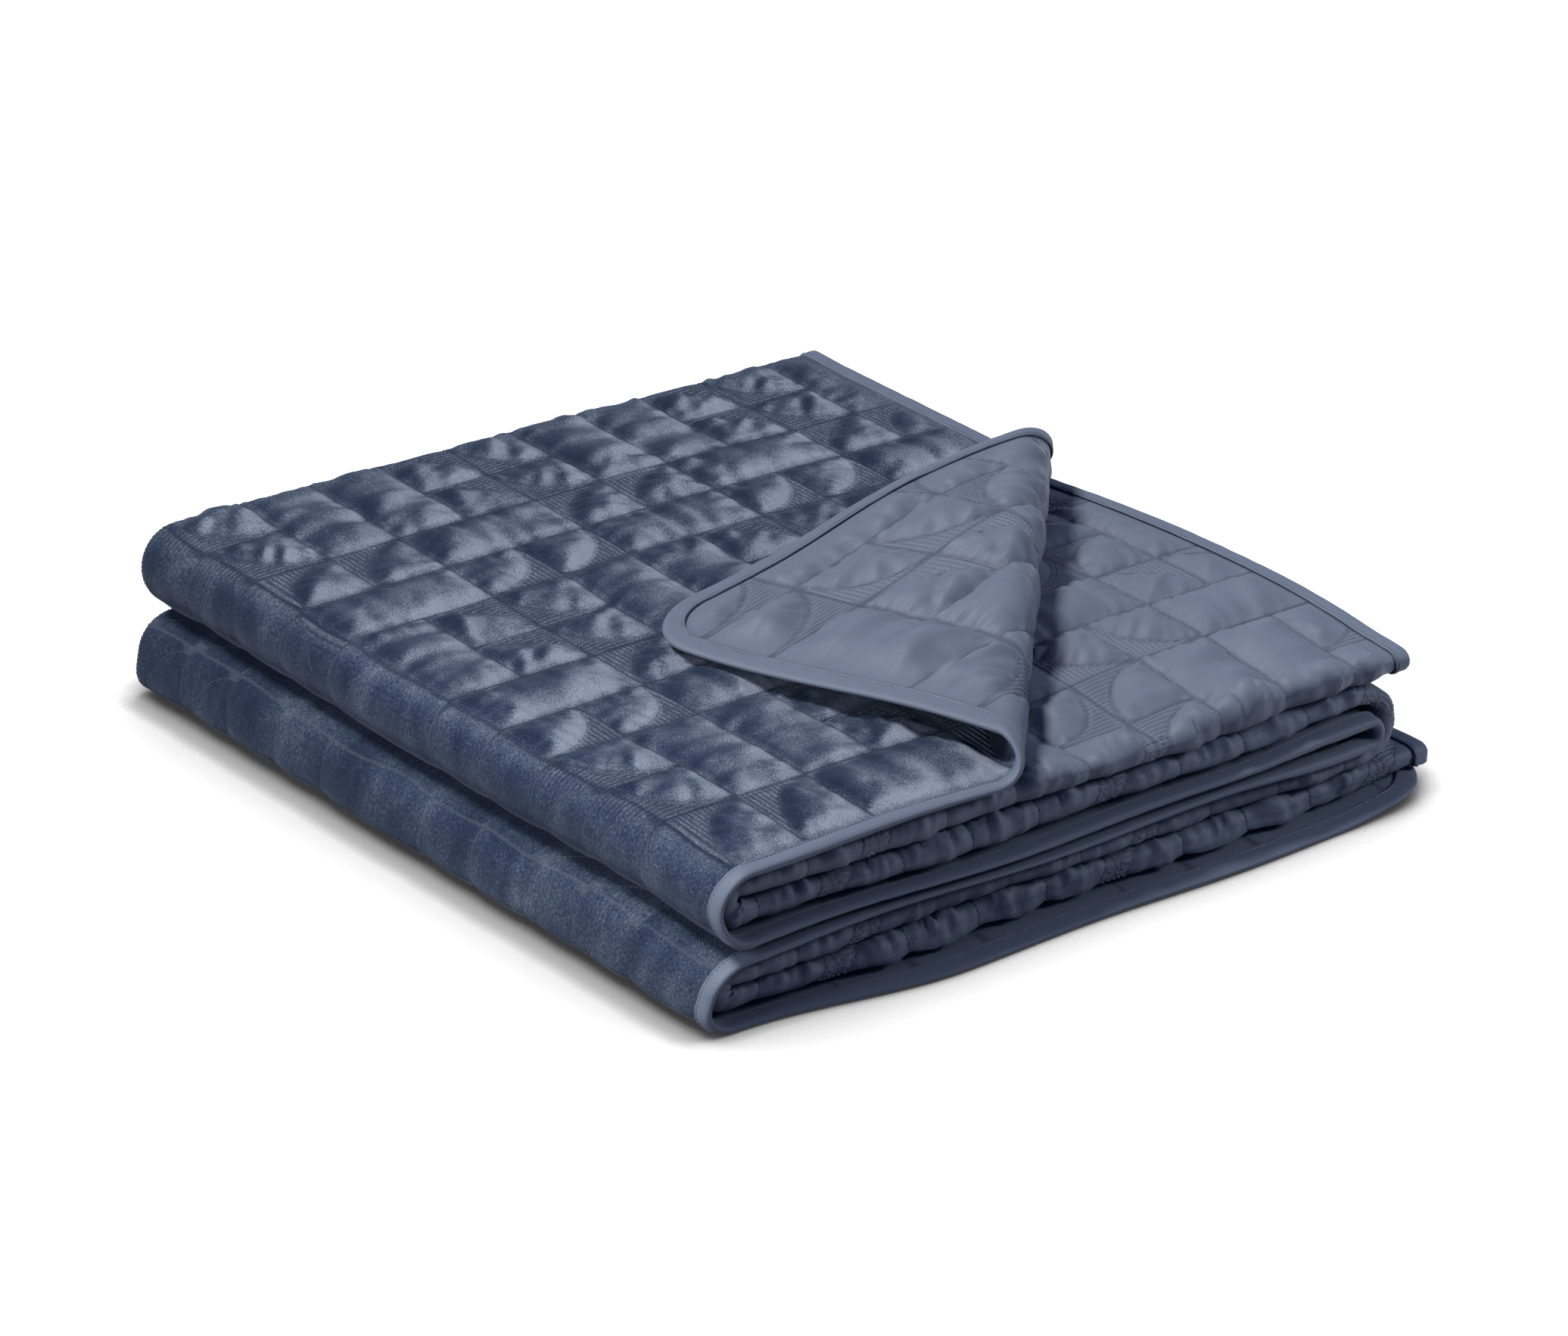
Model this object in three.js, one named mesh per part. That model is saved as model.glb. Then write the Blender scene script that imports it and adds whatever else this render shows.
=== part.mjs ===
// A quilted bedspread, folded in three across and in four along, with one top corner turned back.
// Stack frame while building: x from the rolls to the open side, y from the near side to the far
// side, z up from the surface it lies on. The finished group is centred over its own footprint.
import * as THREE from "three";

// Driving dimensions, in millimetres.
const LAYER_PITCH = 11; // middle of one layer to the middle of the next
const LAYERS_IN_ROW = 3;
const ROWS_IN_STACK = 4;
const BOTTOM_LAYER_HEIGHT = 2.6; // middle of the lowest layer above the surface
const FLOOR_PRESS = 0.4; // how much of the lowest face is pressed flat on the surface
const NEAR_EDGE = -6; // y of the bound near edge of the outer panel
const NEAR_FOLD = 12; // y of the axes of the near folds
const FAR_FOLD = 723; // y of the axes of the far folds
const HIDDEN_EDGE = 705; // y of the bound edge that lies inside the stack
const ROLL_AXIS = 32; // x of the axes of the two rolls
const LOOP_AXIS = 617; // x of the axis of the inner turn at the open side
const TOP_ROW_END = 658; // x of the bound ends of the top row
const BOTTOM_ROW_END = 681; // x of the bound ends of the bottom row
const FOLD_BULGE = 1.3; // how far a fold swells past its layers
const BULGE_RUN = 24; // length of each half of the ease into a fold
const CORNER_RADIUS = 55; // rounding of the four cut corners

// Quilted cloth: half thickness on each side of its middle.
const SEAM_FACE = 1.8;
const SEAM_BACK = 1.5;
const FACE_PUFF = 2.6;
const TOP_FACE_PUFF = 4.2; // the top row and the rolls, with nothing lying on them
const BOTTOM_FACE = BOTTOM_LAYER_HEIGHT + FLOOR_PRESS; // lies flat, with no puffs
const BACK_PUFF = 1.6;
const TOP_BACK_PUFF = 2.6;
const EDGE_HALF = 1.2; // pressed flat under the binding
const EDGE_MARGIN = 6; // thin just past the binding too
const EDGE_EASE = 14; // and from there to full thickness

// Quilting: square blocks of one rail beside two quarter rounds.
const BLOCK = 128;
const RAIL = BLOCK / 2;
const ROUND_RADIUS = 61;
const PUFF_RISE = 24; // from a seam to the crown of a puff
const CHANNEL_PUFF = 0.3; // height of the channel-stitched corners, as a share of a puff
const BLOCK_START_ACROSS = -35;
const BLOCK_START_ALONG = -9;

// Binding, folded over the raw edge.
const BINDING_WIDTH = 13;
const BINDING_INSIDE = 1.6;
const BINDING_OUTSIDE = 2.4;
const BINDING_GAP = 0.3;
const BINDING_RIM = 1.3;

// The corner of the top layer that is turned back, bent about a slanted line.
const FLAP = {
  footX: 259,
  angle: THREE.MathUtils.degToRad(49),
  radiusNear: 14,
  radiusFar: 24.5,
  radiusRun: 520,
  leastShare: -0.2,
  mostShare: 1.2,
  lieHeight: 14,
  fallRun: 217,
  reach: 1.14,
  drift: 0.23,
  fan: 0.295,
  fanMiddle: 200,
  fanRun: 300,
};

// How the stack has settled under its own weight. Heights and shifts are in millimetres, a run is
// the length over which one fades, and start and rise place a gradual onset.
const ROLL_SHIFT = { upperNear: 9, upperFar: -2, lowerNear: 0, lowerFar: -9, run: 80 };
const ROLL_PARTING = { start: 52, rise: 22 }; // height between the two rolls
const ROLL_SPREAD = { most: 13, height: 34, run: 55 };
const NEAR_RUN = 60;
const BOTTOM_SLIP = { most: 22, height: 4, fade: 12, start: 10, rise: 200 };
const SLIP_LOSS = { share: 0.3, start: 580, rise: 100 };
const SCALLOP = { most: 2, along: 43, up: 13 };
const NEAR_SAG = { most: 6.5, run: 70 };
const LOOP_OPENING = { most: 6, start: 470, rise: 120, core: 0.4, reach: 2.5 };
const FAR_CROWN = { most: 4, rollSide: 5, start: 380, rise: 300, fadeStart: 350, fade: 250 };
const OPEN_SWELL = { most: 14, start: 330, rise: 150, length: 440 };
const WAVES = { slant: 1.5, alongX: 95, alongY: 130, ridge: 1, ridgeY: 75, phaseX: 1, phaseY: 2 };
const NEAR_RIPPLE = { most: 1.2, along: 62, up: 11, full: 20 };
const CORNER_LIFT = { most: 9, start: 560, rise: 110, run: 130, top: 70 };

// Mesh steps.
const FINE_STEP = RAIL / 3;
const HALF_STEP = RAIL / 2;
const PANEL_STEPS = 3;
const ROW_STEPS = 3;
const FOLD_STEPS = 4;
const ROLL_STEPS = 5;
const FLAP_BEND_STEP = 9.5;
const FLAP_BEND_RUN = 57;
const FLAP_ALONG = 410; // the turned corner lies inside this much of the near edge
const FLAP_ACROSS = 470; // and this much of the open edge
const NEAR_LINES = [26, 66, 130]; // extra lines where the near side sags
const MERGE = 4.8; // lines closer than this are one

const clamp01 = (v) => Math.min(1, Math.max(0, v));
const ease = (v) => clamp01(v) ** 2 * (3 - 2 * clamp01(v));
const onset = (v, { start, rise }) => ease((v - start) / rise);
const bell = (v, run) => Math.exp(-((v / run) ** 2));
const mix = (m, n, share) => m + (n - m) * share;

// A track is a run of straight and evenly bent stretches, each [length, turn, mesh steps].
function advance(part, run) {
  const heading = part.heading + part.bend * run;
  const straight = part.bend === 0;
  const a = straight
    ? part.a + run * Math.cos(part.heading)
    : part.a + (Math.sin(heading) - Math.sin(part.heading)) / part.bend;
  const b = straight
    ? part.b + run * Math.sin(part.heading)
    : part.b - (Math.cos(heading) - Math.cos(part.heading)) / part.bend;
  return { a, b, heading, travelled: part.travelled + run };
}

function makeTrack(a, b, heading, stretches) {
  const parts = [];
  let point = { a, b, heading, travelled: 0 };
  for (const [length, turn, steps] of stretches) {
    parts.push({ ...point, length, bend: turn / length, steps, index: parts.length });
    point = advance(parts.at(-1), length);
  }
  const partAt = (d) => parts.findLast((p) => p.travelled <= d) ?? parts[0];
  const at = (d) => {
    const part = partAt(d);
    return { ...advance(part, d - part.travelled), index: part.index };
  };
  return { parts, at, length: point.travelled };
}

// Across the cloth: outer panel, far fold, middle panel, near fold, inner panel.
const FOLD_ARC = Math.PI * (LAYER_PITCH / 2 + FOLD_BULGE);
const LEAN = FOLD_BULGE / BULGE_RUN;
const OUTER_PANEL = 0;
const FAR_FOLD_BEND = 3;
const NEAR_FOLD_BEND = 9;
const LAYERS = makeTrack(NEAR_EDGE, LAYER_PITCH, 0, [
  [FAR_FOLD - NEAR_EDGE - 2 * BULGE_RUN, 0, PANEL_STEPS],
  [BULGE_RUN, LEAN, 1],
  [BULGE_RUN, -LEAN, 0],
  [FOLD_ARC, -Math.PI, FOLD_STEPS],
  [BULGE_RUN, -LEAN, 1],
  [BULGE_RUN, LEAN, 0],
  [FAR_FOLD - NEAR_FOLD - 4 * BULGE_RUN, 0, PANEL_STEPS],
  [BULGE_RUN, -LEAN, 1],
  [BULGE_RUN, LEAN, 0],
  [FOLD_ARC, Math.PI, FOLD_STEPS],
  [BULGE_RUN, LEAN, 1],
  [BULGE_RUN, -LEAN, 0],
  [HIDDEN_EDGE - NEAR_FOLD - 2 * BULGE_RUN, 0, PANEL_STEPS],
]);

// Along the cloth: four rows, joined by a roll, an inner turn and a second roll.
const TURN_RADIUS = (LAYERS_IN_ROW / 2) * LAYER_PITCH;
const TURN_ARC = Math.PI * TURN_RADIUS;
const TOP_ROW = 0;
const UPPER_ROLL = 1;
const LOWER_ROLL = 5;
const BOTTOM_ROW = 6;
const STACK_RISE = (LAYERS_IN_ROW * ROWS_IN_STACK - 1) * LAYER_PITCH;
const TOP_LAYER_HEIGHT = BOTTOM_LAYER_HEIGHT + STACK_RISE;
const MIDDLE_HEIGHT = BOTTOM_LAYER_HEIGHT + STACK_RISE / 2;
const TOP_ROW_HEIGHT = TOP_LAYER_HEIGHT - LAYER_PITCH;
const ROWS = makeTrack(TOP_ROW_END, TOP_ROW_HEIGHT, Math.PI, [
  [TOP_ROW_END - ROLL_AXIS, 0, ROW_STEPS],
  [TURN_ARC, Math.PI, ROLL_STEPS],
  [LOOP_AXIS - ROLL_AXIS, 0, ROW_STEPS],
  [TURN_ARC, -Math.PI, ROLL_STEPS],
  [LOOP_AXIS - ROLL_AXIS, 0, ROW_STEPS],
  [TURN_ARC, Math.PI, ROLL_STEPS],
  [BOTTOM_ROW_END - ROLL_AXIS, 0, ROW_STEPS],
]);
const WIDTH = LAYERS.length;
const LENGTH = ROWS.length;

// The turned-back corner: flat up to the slanted line, round it, then down onto the top layer.
function turnedBack(x, y, lift) {
  const along = [Math.cos(FLAP.angle), Math.sin(FLAP.angle)];
  const past = [Math.sin(FLAP.angle), -Math.cos(FLAP.angle)];
  const xi = (x - FLAP.footX) * past[0] + y * past[1];
  const eta = (x - FLAP.footX) * along[0] + y * along[1];
  const share = Math.min(FLAP.mostShare, Math.max(FLAP.leastShare, eta / FLAP.radiusRun));
  const radius = FLAP.radiusNear + (FLAP.radiusFar - FLAP.radiusNear) * share;
  const bend = Math.min(Math.PI, Math.max(0, xi / radius));
  const beyond = Math.max(0, xi - Math.PI * radius);
  const drop = 2 * radius - FLAP.lieHeight;
  const u = clamp01(beyond / FLAP.fallRun);
  const slope = (-drop * 6 * u * (1 - u)) / FLAP.fallRun;
  let tangent = [Math.cos(bend), Math.sin(bend)];
  if (beyond > 0) {
    const size = Math.hypot(FLAP.reach, slope);
    tangent = [-FLAP.reach / size, slope / size];
  }
  const flat = xi < 0 ? xi : radius * Math.sin(bend) - beyond * FLAP.reach;
  const out = flat - lift * tangent[1];
  const height = radius * (1 - Math.cos(bend)) - drop * ease(u) + lift * tangent[0];
  const fan = (FLAP.fan * beyond * (eta - FLAP.fanMiddle)) / FLAP.fanRun;
  const run = eta - FLAP.drift * beyond + fan;
  return new THREE.Vector3(
    FLAP.footX + along[0] * run + past[0] * out,
    along[1] * run + past[1] * out,
    TOP_LAYER_HEIGHT + height,
  );
}

// How the stack has settled: each step keeps the order of the layers.
function settle(p) {
  const upper = onset(p.z, ROLL_PARTING);
  const nearShare = 1 - clamp01(p.y / FAR_FOLD);
  const rollShift =
    upper * mix(ROLL_SHIFT.upperFar, ROLL_SHIFT.upperNear, nearShare) +
    (1 - upper) * mix(ROLL_SHIFT.lowerFar, ROLL_SHIFT.lowerNear, nearShare);
  const spread = ROLL_SPREAD.most * (1 - ease(p.z / ROLL_SPREAD.height));
  const fromRoll = Math.max(0, p.x);
  const x =
    p.x +
    rollShift * Math.exp(-fromRoll / ROLL_SHIFT.run) -
    spread * Math.exp(-fromRoll / ROLL_SPREAD.run);

  const nearness = Math.exp(-Math.max(0, p.y) / NEAR_RUN);
  const lowest = 1 - ease((p.z - BOTTOM_SLIP.height) / BOTTOM_SLIP.fade);
  const slipShare = onset(x, BOTTOM_SLIP) * (1 - SLIP_LOSS.share * onset(x, SLIP_LOSS));
  const slip = BOTTOM_SLIP.most * lowest * slipShare;
  const scallop = SCALLOP.most * Math.sin(x / SCALLOP.along + p.z / SCALLOP.up);
  const y = p.y + (scallop - slip) * nearness;

  const sag = NEAR_SAG.most * bell(Math.max(0, y), NEAR_SAG.run) * clamp01(p.z / MIDDLE_HEIGHT);
  const layer = (p.z - MIDDLE_HEIGHT) / LAYER_PITCH;
  const apart = Math.tanh(layer / LOOP_OPENING.core) * bell(layer, LOOP_OPENING.reach);
  const opening = LOOP_OPENING.most * onset(x, LOOP_OPENING) * apart;
  const rollSide = FAR_CROWN.rollSide * (1 - ease((x - FAR_CROWN.fadeStart) / FAR_CROWN.fade));
  const crownFar = (FAR_CROWN.most + rollSide) * onset(y, FAR_CROWN);
  const hump = Math.sin(Math.PI * clamp01(y / OPEN_SWELL.length));
  const openSide = OPEN_SWELL.most * onset(x, OPEN_SWELL) * hump;
  const waves =
    WAVES.slant * Math.sin(x / WAVES.alongX + WAVES.phaseX) * Math.cos(y / WAVES.alongY) +
    WAVES.ridge * Math.sin(y / WAVES.ridgeY + WAVES.phaseY);
  const swell = (p.z / TOP_LAYER_HEIGHT) * (crownFar + openSide + waves);
  const rippleShare = clamp01(p.z / NEAR_RIPPLE.full) * nearness;
  const ripple = NEAR_RIPPLE.most * rippleShare * Math.sin(x / NEAR_RIPPLE.along + p.z / NEAR_RIPPLE.up);
  const low = 1 - clamp01(p.z / CORNER_LIFT.top);
  const cornerLift = CORNER_LIFT.most * onset(x, CORNER_LIFT) * bell(y, CORNER_LIFT.run) * low;
  const z = p.z - sag + opening + swell + ripple + cornerLift;
  return new THREE.Vector3(x, y, Math.max(0, z));
}

// A point of the folded cloth: across and along the flat cloth, and out from its middle.
function place(across, along, lift) {
  const layer = LAYERS.at(across);
  const row = ROWS.at(along);
  if (layer.index === OUTER_PANEL && row.index === TOP_ROW) {
    return settle(turnedBack(row.a, layer.a, lift));
  }
  const y = layer.a - lift * Math.sin(layer.heading);
  const up = layer.b + lift * Math.cos(layer.heading);
  return settle(
    new THREE.Vector3(row.a + up * Math.sin(row.heading), y, row.b - up * Math.cos(row.heading)),
  );
}

// Quilting height from 0 at a seam to 1 on a crown: each block is turned a quarter from the last.
function puff(across, along) {
  const column = Math.floor((across - BLOCK_START_ACROSS) / BLOCK);
  const line = Math.floor((along - BLOCK_START_ALONG) / BLOCK);
  let a = across - BLOCK_START_ACROSS - column * BLOCK;
  let b = along - BLOCK_START_ALONG - line * BLOCK;
  for (let turn = (((column + 2 * line) % 4) + 4) % 4; turn > 0; turn--) {
    [a, b] = [b, BLOCK - a];
  }
  if (a < RAIL) return crown(Math.min(a, RAIL - a, b, BLOCK - b));
  const c = a - RAIL;
  const d = b < RAIL ? b : b - RAIL;
  const inside = ROUND_RADIUS - Math.hypot(c, d);
  return inside > 0 ? crown(Math.min(c, d, inside)) : CHANNEL_PUFF * crown(-inside);
}
const crown = (fromSeam) => 1 - (1 - clamp01(fromSeam / PUFF_RISE)) ** 2;

// Distance in from the outline of the flat cloth, with its rounded corners.
function edgeDistance(across, along) {
  const m = Math.min(across, WIDTH - across);
  const n = Math.min(along, LENGTH - along);
  if (Math.max(m, n) >= CORNER_RADIUS) return Math.min(m, n);
  return CORNER_RADIUS - Math.hypot(CORNER_RADIUS - m, CORNER_RADIUS - n);
}

// Half thickness of the cloth on its face and its back, thin under the binding.
function halfThickness(across, along, seam, rise) {
  const full = seam + rise * puff(across, along);
  const inward = edgeDistance(across, along) - BINDING_WIDTH - EDGE_MARGIN;
  return EDGE_HALF + (full - EDGE_HALF) * ease(inward / EDGE_EASE);
}

function faceLift(across, along) {
  const row = ROWS.at(along).index;
  const outer = across < LAYERS.parts[FAR_FOLD_BEND].travelled;
  if (outer && row === BOTTOM_ROW) return halfThickness(across, along, BOTTOM_FACE, 0);
  const open = outer && (row <= UPPER_ROLL || row === LOWER_ROLL);
  return halfThickness(across, along, SEAM_FACE, open ? TOP_FACE_PUFF : FACE_PUFF);
}

function backLift(across, along) {
  const open = across < LAYERS.parts[NEAR_FOLD_BEND].travelled && along < FLAP_ALONG;
  return -halfThickness(across, along, SEAM_BACK, open ? TOP_BACK_PUFF : BACK_PUFF);
}

// Lines of the mesh along a track: a few to each straight stretch, more round each bend.
function trackLines(track) {
  const lines = [];
  for (const { travelled, length, steps } of track.parts) {
    for (let i = 0; i < steps; i++) lines.push(travelled + (length * i) / steps);
  }
  return [...lines, track.length];
}

function quiltLines(start, from, to, step) {
  const lines = [];
  for (let v = start; v < to; v += step) if (v > from) lines.push(v);
  return lines;
}

// Sorted lines, dropping any that crowd one that came earlier in the list.
function tidyLines(kept, ...extra) {
  const lines = [...kept];
  for (const v of extra.flat()) {
    if (lines.every((w) => Math.abs(w - v) > MERGE)) lines.push(v);
  }
  return lines.sort((m, n) => m - n);
}

const nearFoldStart = LAYERS.parts[NEAR_FOLD_BEND].travelled;
const nearFoldEnd = LAYERS.parts[NEAR_FOLD_BEND + 1].travelled;
const middlePanelNear = (y) => nearFoldStart - (y - NEAR_FOLD);
const ACROSS_BASE = tidyLines(
  trackLines(LAYERS),
  [BINDING_WIDTH, BINDING_WIDTH + EDGE_EASE, WIDTH - BINDING_WIDTH],
  NEAR_LINES.map((y) => y - NEAR_EDGE),
  NEAR_LINES.slice(1).map(middlePanelNear),
  nearFoldEnd + NEAR_LINES[2] - NEAR_FOLD,
);
const cornerRows = [BINDING_WIDTH, BINDING_WIDTH + EDGE_EASE, CORNER_RADIUS];
const ALONG_BASE = tidyLines(
  trackLines(ROWS),
  cornerRows,
  cornerRows.map((d) => LENGTH - d),
);
const rollEnd = ROWS.parts[2].travelled;
const flapFootAlong = TOP_ROW_END - FLAP.footX;
const flapBendStart = flapFootAlong - FLAP_BEND_RUN;
const flapBendLines = quiltLines(flapBendStart, 0, flapFootAlong, FLAP_BEND_STEP);
const topRowEnd = ROWS.parts[UPPER_ROLL].travelled;
const topRowLines = quiltLines(BLOCK_START_ALONG, CORNER_RADIUS, topRowEnd, FINE_STEP);
const ALONG = tidyLines(ALONG_BASE, flapBendLines, topRowLines);

const outerFine = quiltLines(BLOCK_START_ACROSS, BINDING_WIDTH, FAR_FOLD, FINE_STEP);
const outerHalf = quiltLines(BLOCK_START_ACROSS, BINDING_WIDTH, FAR_FOLD, HALF_STEP);
const middleStart = middlePanelNear(FLAP_ALONG);
const middleHalf = quiltLines(BLOCK_START_ACROSS, middleStart, nearFoldStart, HALF_STEP);
const inFlapZone = (v) => v < FLAP_ACROSS;
const EDGE_ACROSS = tidyLines(ACROSS_BASE, outerFine.filter(inFlapZone));
const onEndStrip = (along) => Math.min(along, LENGTH - along) <= BINDING_WIDTH + MERGE;

function faceAcross(along) {
  if (onEndStrip(along)) return along < BLOCK ? EDGE_ACROSS : ACROSS_BASE;
  if (along < topRowEnd) return tidyLines(ACROSS_BASE, outerFine);
  const onRoll = along <= rollEnd || ROWS.at(along).index === LOWER_ROLL;
  return onRoll ? tidyLines(ACROSS_BASE, outerHalf) : ACROSS_BASE;
}

function backAcross(along) {
  if (onEndStrip(along)) return along < BLOCK ? EDGE_ACROSS : ACROSS_BASE;
  if (along > FLAP_ALONG) return ACROSS_BASE;
  const edgeLines = outerFine.filter((v) => v < CORNER_RADIUS);
  return tidyLines(ACROSS_BASE, edgeLines, outerHalf.filter(inFlapZone), middleHalf);
}

// The four corners of the flat cloth are round, so rows near its ends are shorter.
function sideInset(along) {
  const into = CORNER_RADIUS - Math.min(along, LENGTH - along);
  return into <= 0 ? 0 : CORNER_RADIUS - Math.sqrt(CORNER_RADIUS ** 2 - into ** 2);
}

function roundedAcross(across, along) {
  const inset = sideInset(along);
  if (across < CORNER_RADIUS) return inset + across * (1 - inset / CORNER_RADIUS);
  const left = WIDTH - across;
  if (left < CORNER_RADIUS) return WIDTH - inset - left * (1 - inset / CORNER_RADIUS);
  return across;
}

// Triangles between two neighbouring rows of points, each { index, at }.
function zip(first, second, reversed, triangles) {
  let i = 0;
  let j = 0;
  while (i < first.length - 1 || j < second.length - 1) {
    const nextFirst = i < first.length - 1 ? first[i + 1].at : Infinity;
    const nextSecond = j < second.length - 1 ? second[j + 1].at : Infinity;
    const onFirst = nextFirst <= nextSecond;
    const corner = [first[i].index, (onFirst ? first[i + 1] : second[j + 1]).index, second[j].index];
    if (reversed) corner.reverse();
    triangles.push(...corner);
    if (onFirst) i++;
    else j++;
  }
}

function meshOf(name, points, triangles, material) {
  const geometry = new THREE.BufferGeometry();
  geometry.setAttribute("position", new THREE.Float32BufferAttribute(points.flat(), 3));
  geometry.setIndex(triangles);
  geometry.computeVertexNormals();
  const mesh = new THREE.Mesh(geometry, material);
  mesh.name = name;
  return mesh;
}

// The quilted cloth: its face and back surfaces, joined round the rim.
function quiltedPanel(material) {
  const points = [];
  const triangles = [];
  const addSurface = (acrossLines, liftAt, reversed) => {
    const rows = ALONG.map((along) =>
      acrossLines(along).map((line) => {
        const across = roundedAcross(line, along);
        points.push(place(across, along, liftAt(across, along)).toArray());
        return { index: points.length - 1, at: line, along };
      }),
    );
    rows.slice(1).forEach((row, i) => zip(rows[i], row, reversed, triangles));
    return rows;
  };
  const face = addSurface(faceAcross, faceLift, false);
  const back = addSurface(backAcross, backLift, true);
  const edge = (rows, end) => rows.map((row) => ({ index: row.at(end).index, at: row.at(end).along }));
  zip(edge(face, 0), edge(back, 0), false, triangles);
  zip(edge(face, -1), edge(back, -1), true, triangles);
  zip(face[0], back[0], true, triangles);
  zip(face.at(-1), back.at(-1), false, triangles);
  return meshOf("quilted_panel", points, triangles, material);
}

// Stations round the outline of the flat cloth, each with the direction out of the cloth.
function outlineStations() {
  const inner = CORNER_RADIUS;
  const between = (lines, total) =>
    lines.filter((v) => v > inner + MERGE && v < total - inner - MERGE);
  const turns = [0, ...cornerRows].map((d) => Math.acos(1 - d / inner));
  const corner = (across, along, signAcross, signAlong) =>
    turns.map((turn) => {
      const out = [signAcross * Math.sin(turn), signAlong * Math.cos(turn)];
      return { across: across + inner * out[0], along: along + inner * out[1], out };
    });
  const side = (across, sign) =>
    between(ALONG, LENGTH).map((along) => ({ across, along, out: [sign, 0], onSide: true }));
  const end = (lines, along, sign) =>
    between(lines, WIDTH).map((across) => ({ across, along, out: [0, sign] }));
  return [
    ...side(0, -1).reverse(),
    ...corner(inner, inner, -1, -1).reverse(),
    ...end(EDGE_ACROSS, 0, -1),
    ...corner(WIDTH - inner, inner, 1, -1),
    ...side(WIDTH, 1),
    ...corner(WIDTH - inner, LENGTH - inner, 1, 1).reverse(),
    ...end(ACROSS_BASE, LENGTH, 1).reverse(),
    ...corner(inner, LENGTH - inner, -1, 1),
  ];
}

// The binding: a folded strip with a channel for the edge of the cloth, in one ring.
function edgeBinding(material) {
  const section = [
    [-BINDING_WIDTH, BINDING_OUTSIDE],
    [BINDING_RIM, BINDING_OUTSIDE],
    [BINDING_RIM, -BINDING_OUTSIDE],
    [-BINDING_WIDTH, -BINDING_OUTSIDE],
    [-BINDING_WIDTH, -BINDING_INSIDE],
    [BINDING_GAP, -BINDING_INSIDE],
    [BINDING_GAP, BINDING_INSIDE],
    [-BINDING_WIDTH, BINDING_INSIDE],
  ];
  const stations = outlineStations();
  const sides = section.length;
  const points = stations.flatMap(({ across, along, out }) =>
    section.map(([e, lift]) => place(across + e * out[0], along + e * out[1], lift).toArray()),
  );
  // Each four-sided patch is split along the same diagonal as the cloth inside it.
  const triangles = [];
  stations.forEach(({ onSide = false }, i) => {
    const here = i * sides;
    const next = ((i + 1) % stations.length) * sides;
    for (let k = 0; k < sides; k++) {
      const l = (k + 1) % sides;
      const [hk, hl, nk, nl] = [here + k, here + l, next + k, next + l];
      const fromEdge = section[k][0] > section[l][0];
      if (fromEdge === onSide) triangles.push(hk, hl, nl, hk, nl, nk);
      else triangles.push(hk, hl, nk, hl, nl, nk);
    }
  });
  return meshOf("edge_binding", points, triangles, material);
}

const velvet = new THREE.MeshStandardMaterial({ color: 0x43526b, roughness: 0.85, metalness: 0 });
const satin = new THREE.MeshStandardMaterial({ color: 0x687083, roughness: 0.6, metalness: 0 });

const bedspread = new THREE.Group();
bedspread.add(quiltedPanel(velvet), edgeBinding(satin));

const box = new THREE.Box3().setFromObject(bedspread);
const centre = box.getCenter(new THREE.Vector3());
for (const mesh of bedspread.children) mesh.geometry.translate(-centre.x, -centre.y, -box.min.z);

export default bedspread;
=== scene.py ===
"""A quilted velvet bedspread, folded in three across and in four along, with one corner turned back."""

import math

import bpy
import numpy as np
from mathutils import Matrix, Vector


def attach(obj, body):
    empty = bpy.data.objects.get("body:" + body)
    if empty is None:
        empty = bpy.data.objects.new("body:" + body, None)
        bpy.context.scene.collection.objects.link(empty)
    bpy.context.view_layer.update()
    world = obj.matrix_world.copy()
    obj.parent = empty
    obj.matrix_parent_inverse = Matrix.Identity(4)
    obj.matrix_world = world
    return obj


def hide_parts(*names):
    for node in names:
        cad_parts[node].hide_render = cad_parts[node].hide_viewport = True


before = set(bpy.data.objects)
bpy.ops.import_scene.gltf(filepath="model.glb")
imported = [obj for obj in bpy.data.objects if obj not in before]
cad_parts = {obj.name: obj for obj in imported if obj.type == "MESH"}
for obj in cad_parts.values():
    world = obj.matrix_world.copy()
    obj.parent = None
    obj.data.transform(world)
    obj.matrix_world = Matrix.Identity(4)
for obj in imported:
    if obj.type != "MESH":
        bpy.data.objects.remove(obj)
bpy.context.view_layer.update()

# The folded cloth, in millimetres, as in the part: x from the rolls to the open side, y from the near
# side to the far side, z up.
LAYER_PITCH = 11.0
LAYERS_IN_ROW = 3
ROWS_IN_STACK = 4
BOTTOM_LAYER_HEIGHT = 2.6
FLOOR_PRESS = 0.4
NEAR_EDGE = -6.0
NEAR_FOLD = 12.0
FAR_FOLD = 723.0
HIDDEN_EDGE = 705.0
ROLL_AXIS = 32.0
LOOP_AXIS = 617.0
TOP_ROW_END = 658.0
BOTTOM_ROW_END = 681.0
FOLD_BULGE = 1.3
BULGE_RUN = 24.0
CORNER_RADIUS = 55.0
STACK_CENTRE = np.array([335.2474, 350.7765, 0.0])

# Quilting: square blocks of one rail beside two quarter rounds.
BLOCK = 128.0
RAIL = BLOCK / 2
ROUND_RADIUS = 61.0
PUFF_RISE = 27.0
BLOCK_START_ACROSS = -35.0
BLOCK_START_ALONG = -9.0
RIBS_IN_CORNER = 14
# Near the cloth's near edge the quilting is drawn out, so that its first seam lies under the binding.
PATTERN_MARKS = [0.0, 29.0, 93.0]
CLOTH_MARKS = [0.0, 13.0, 93.0]

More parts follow.
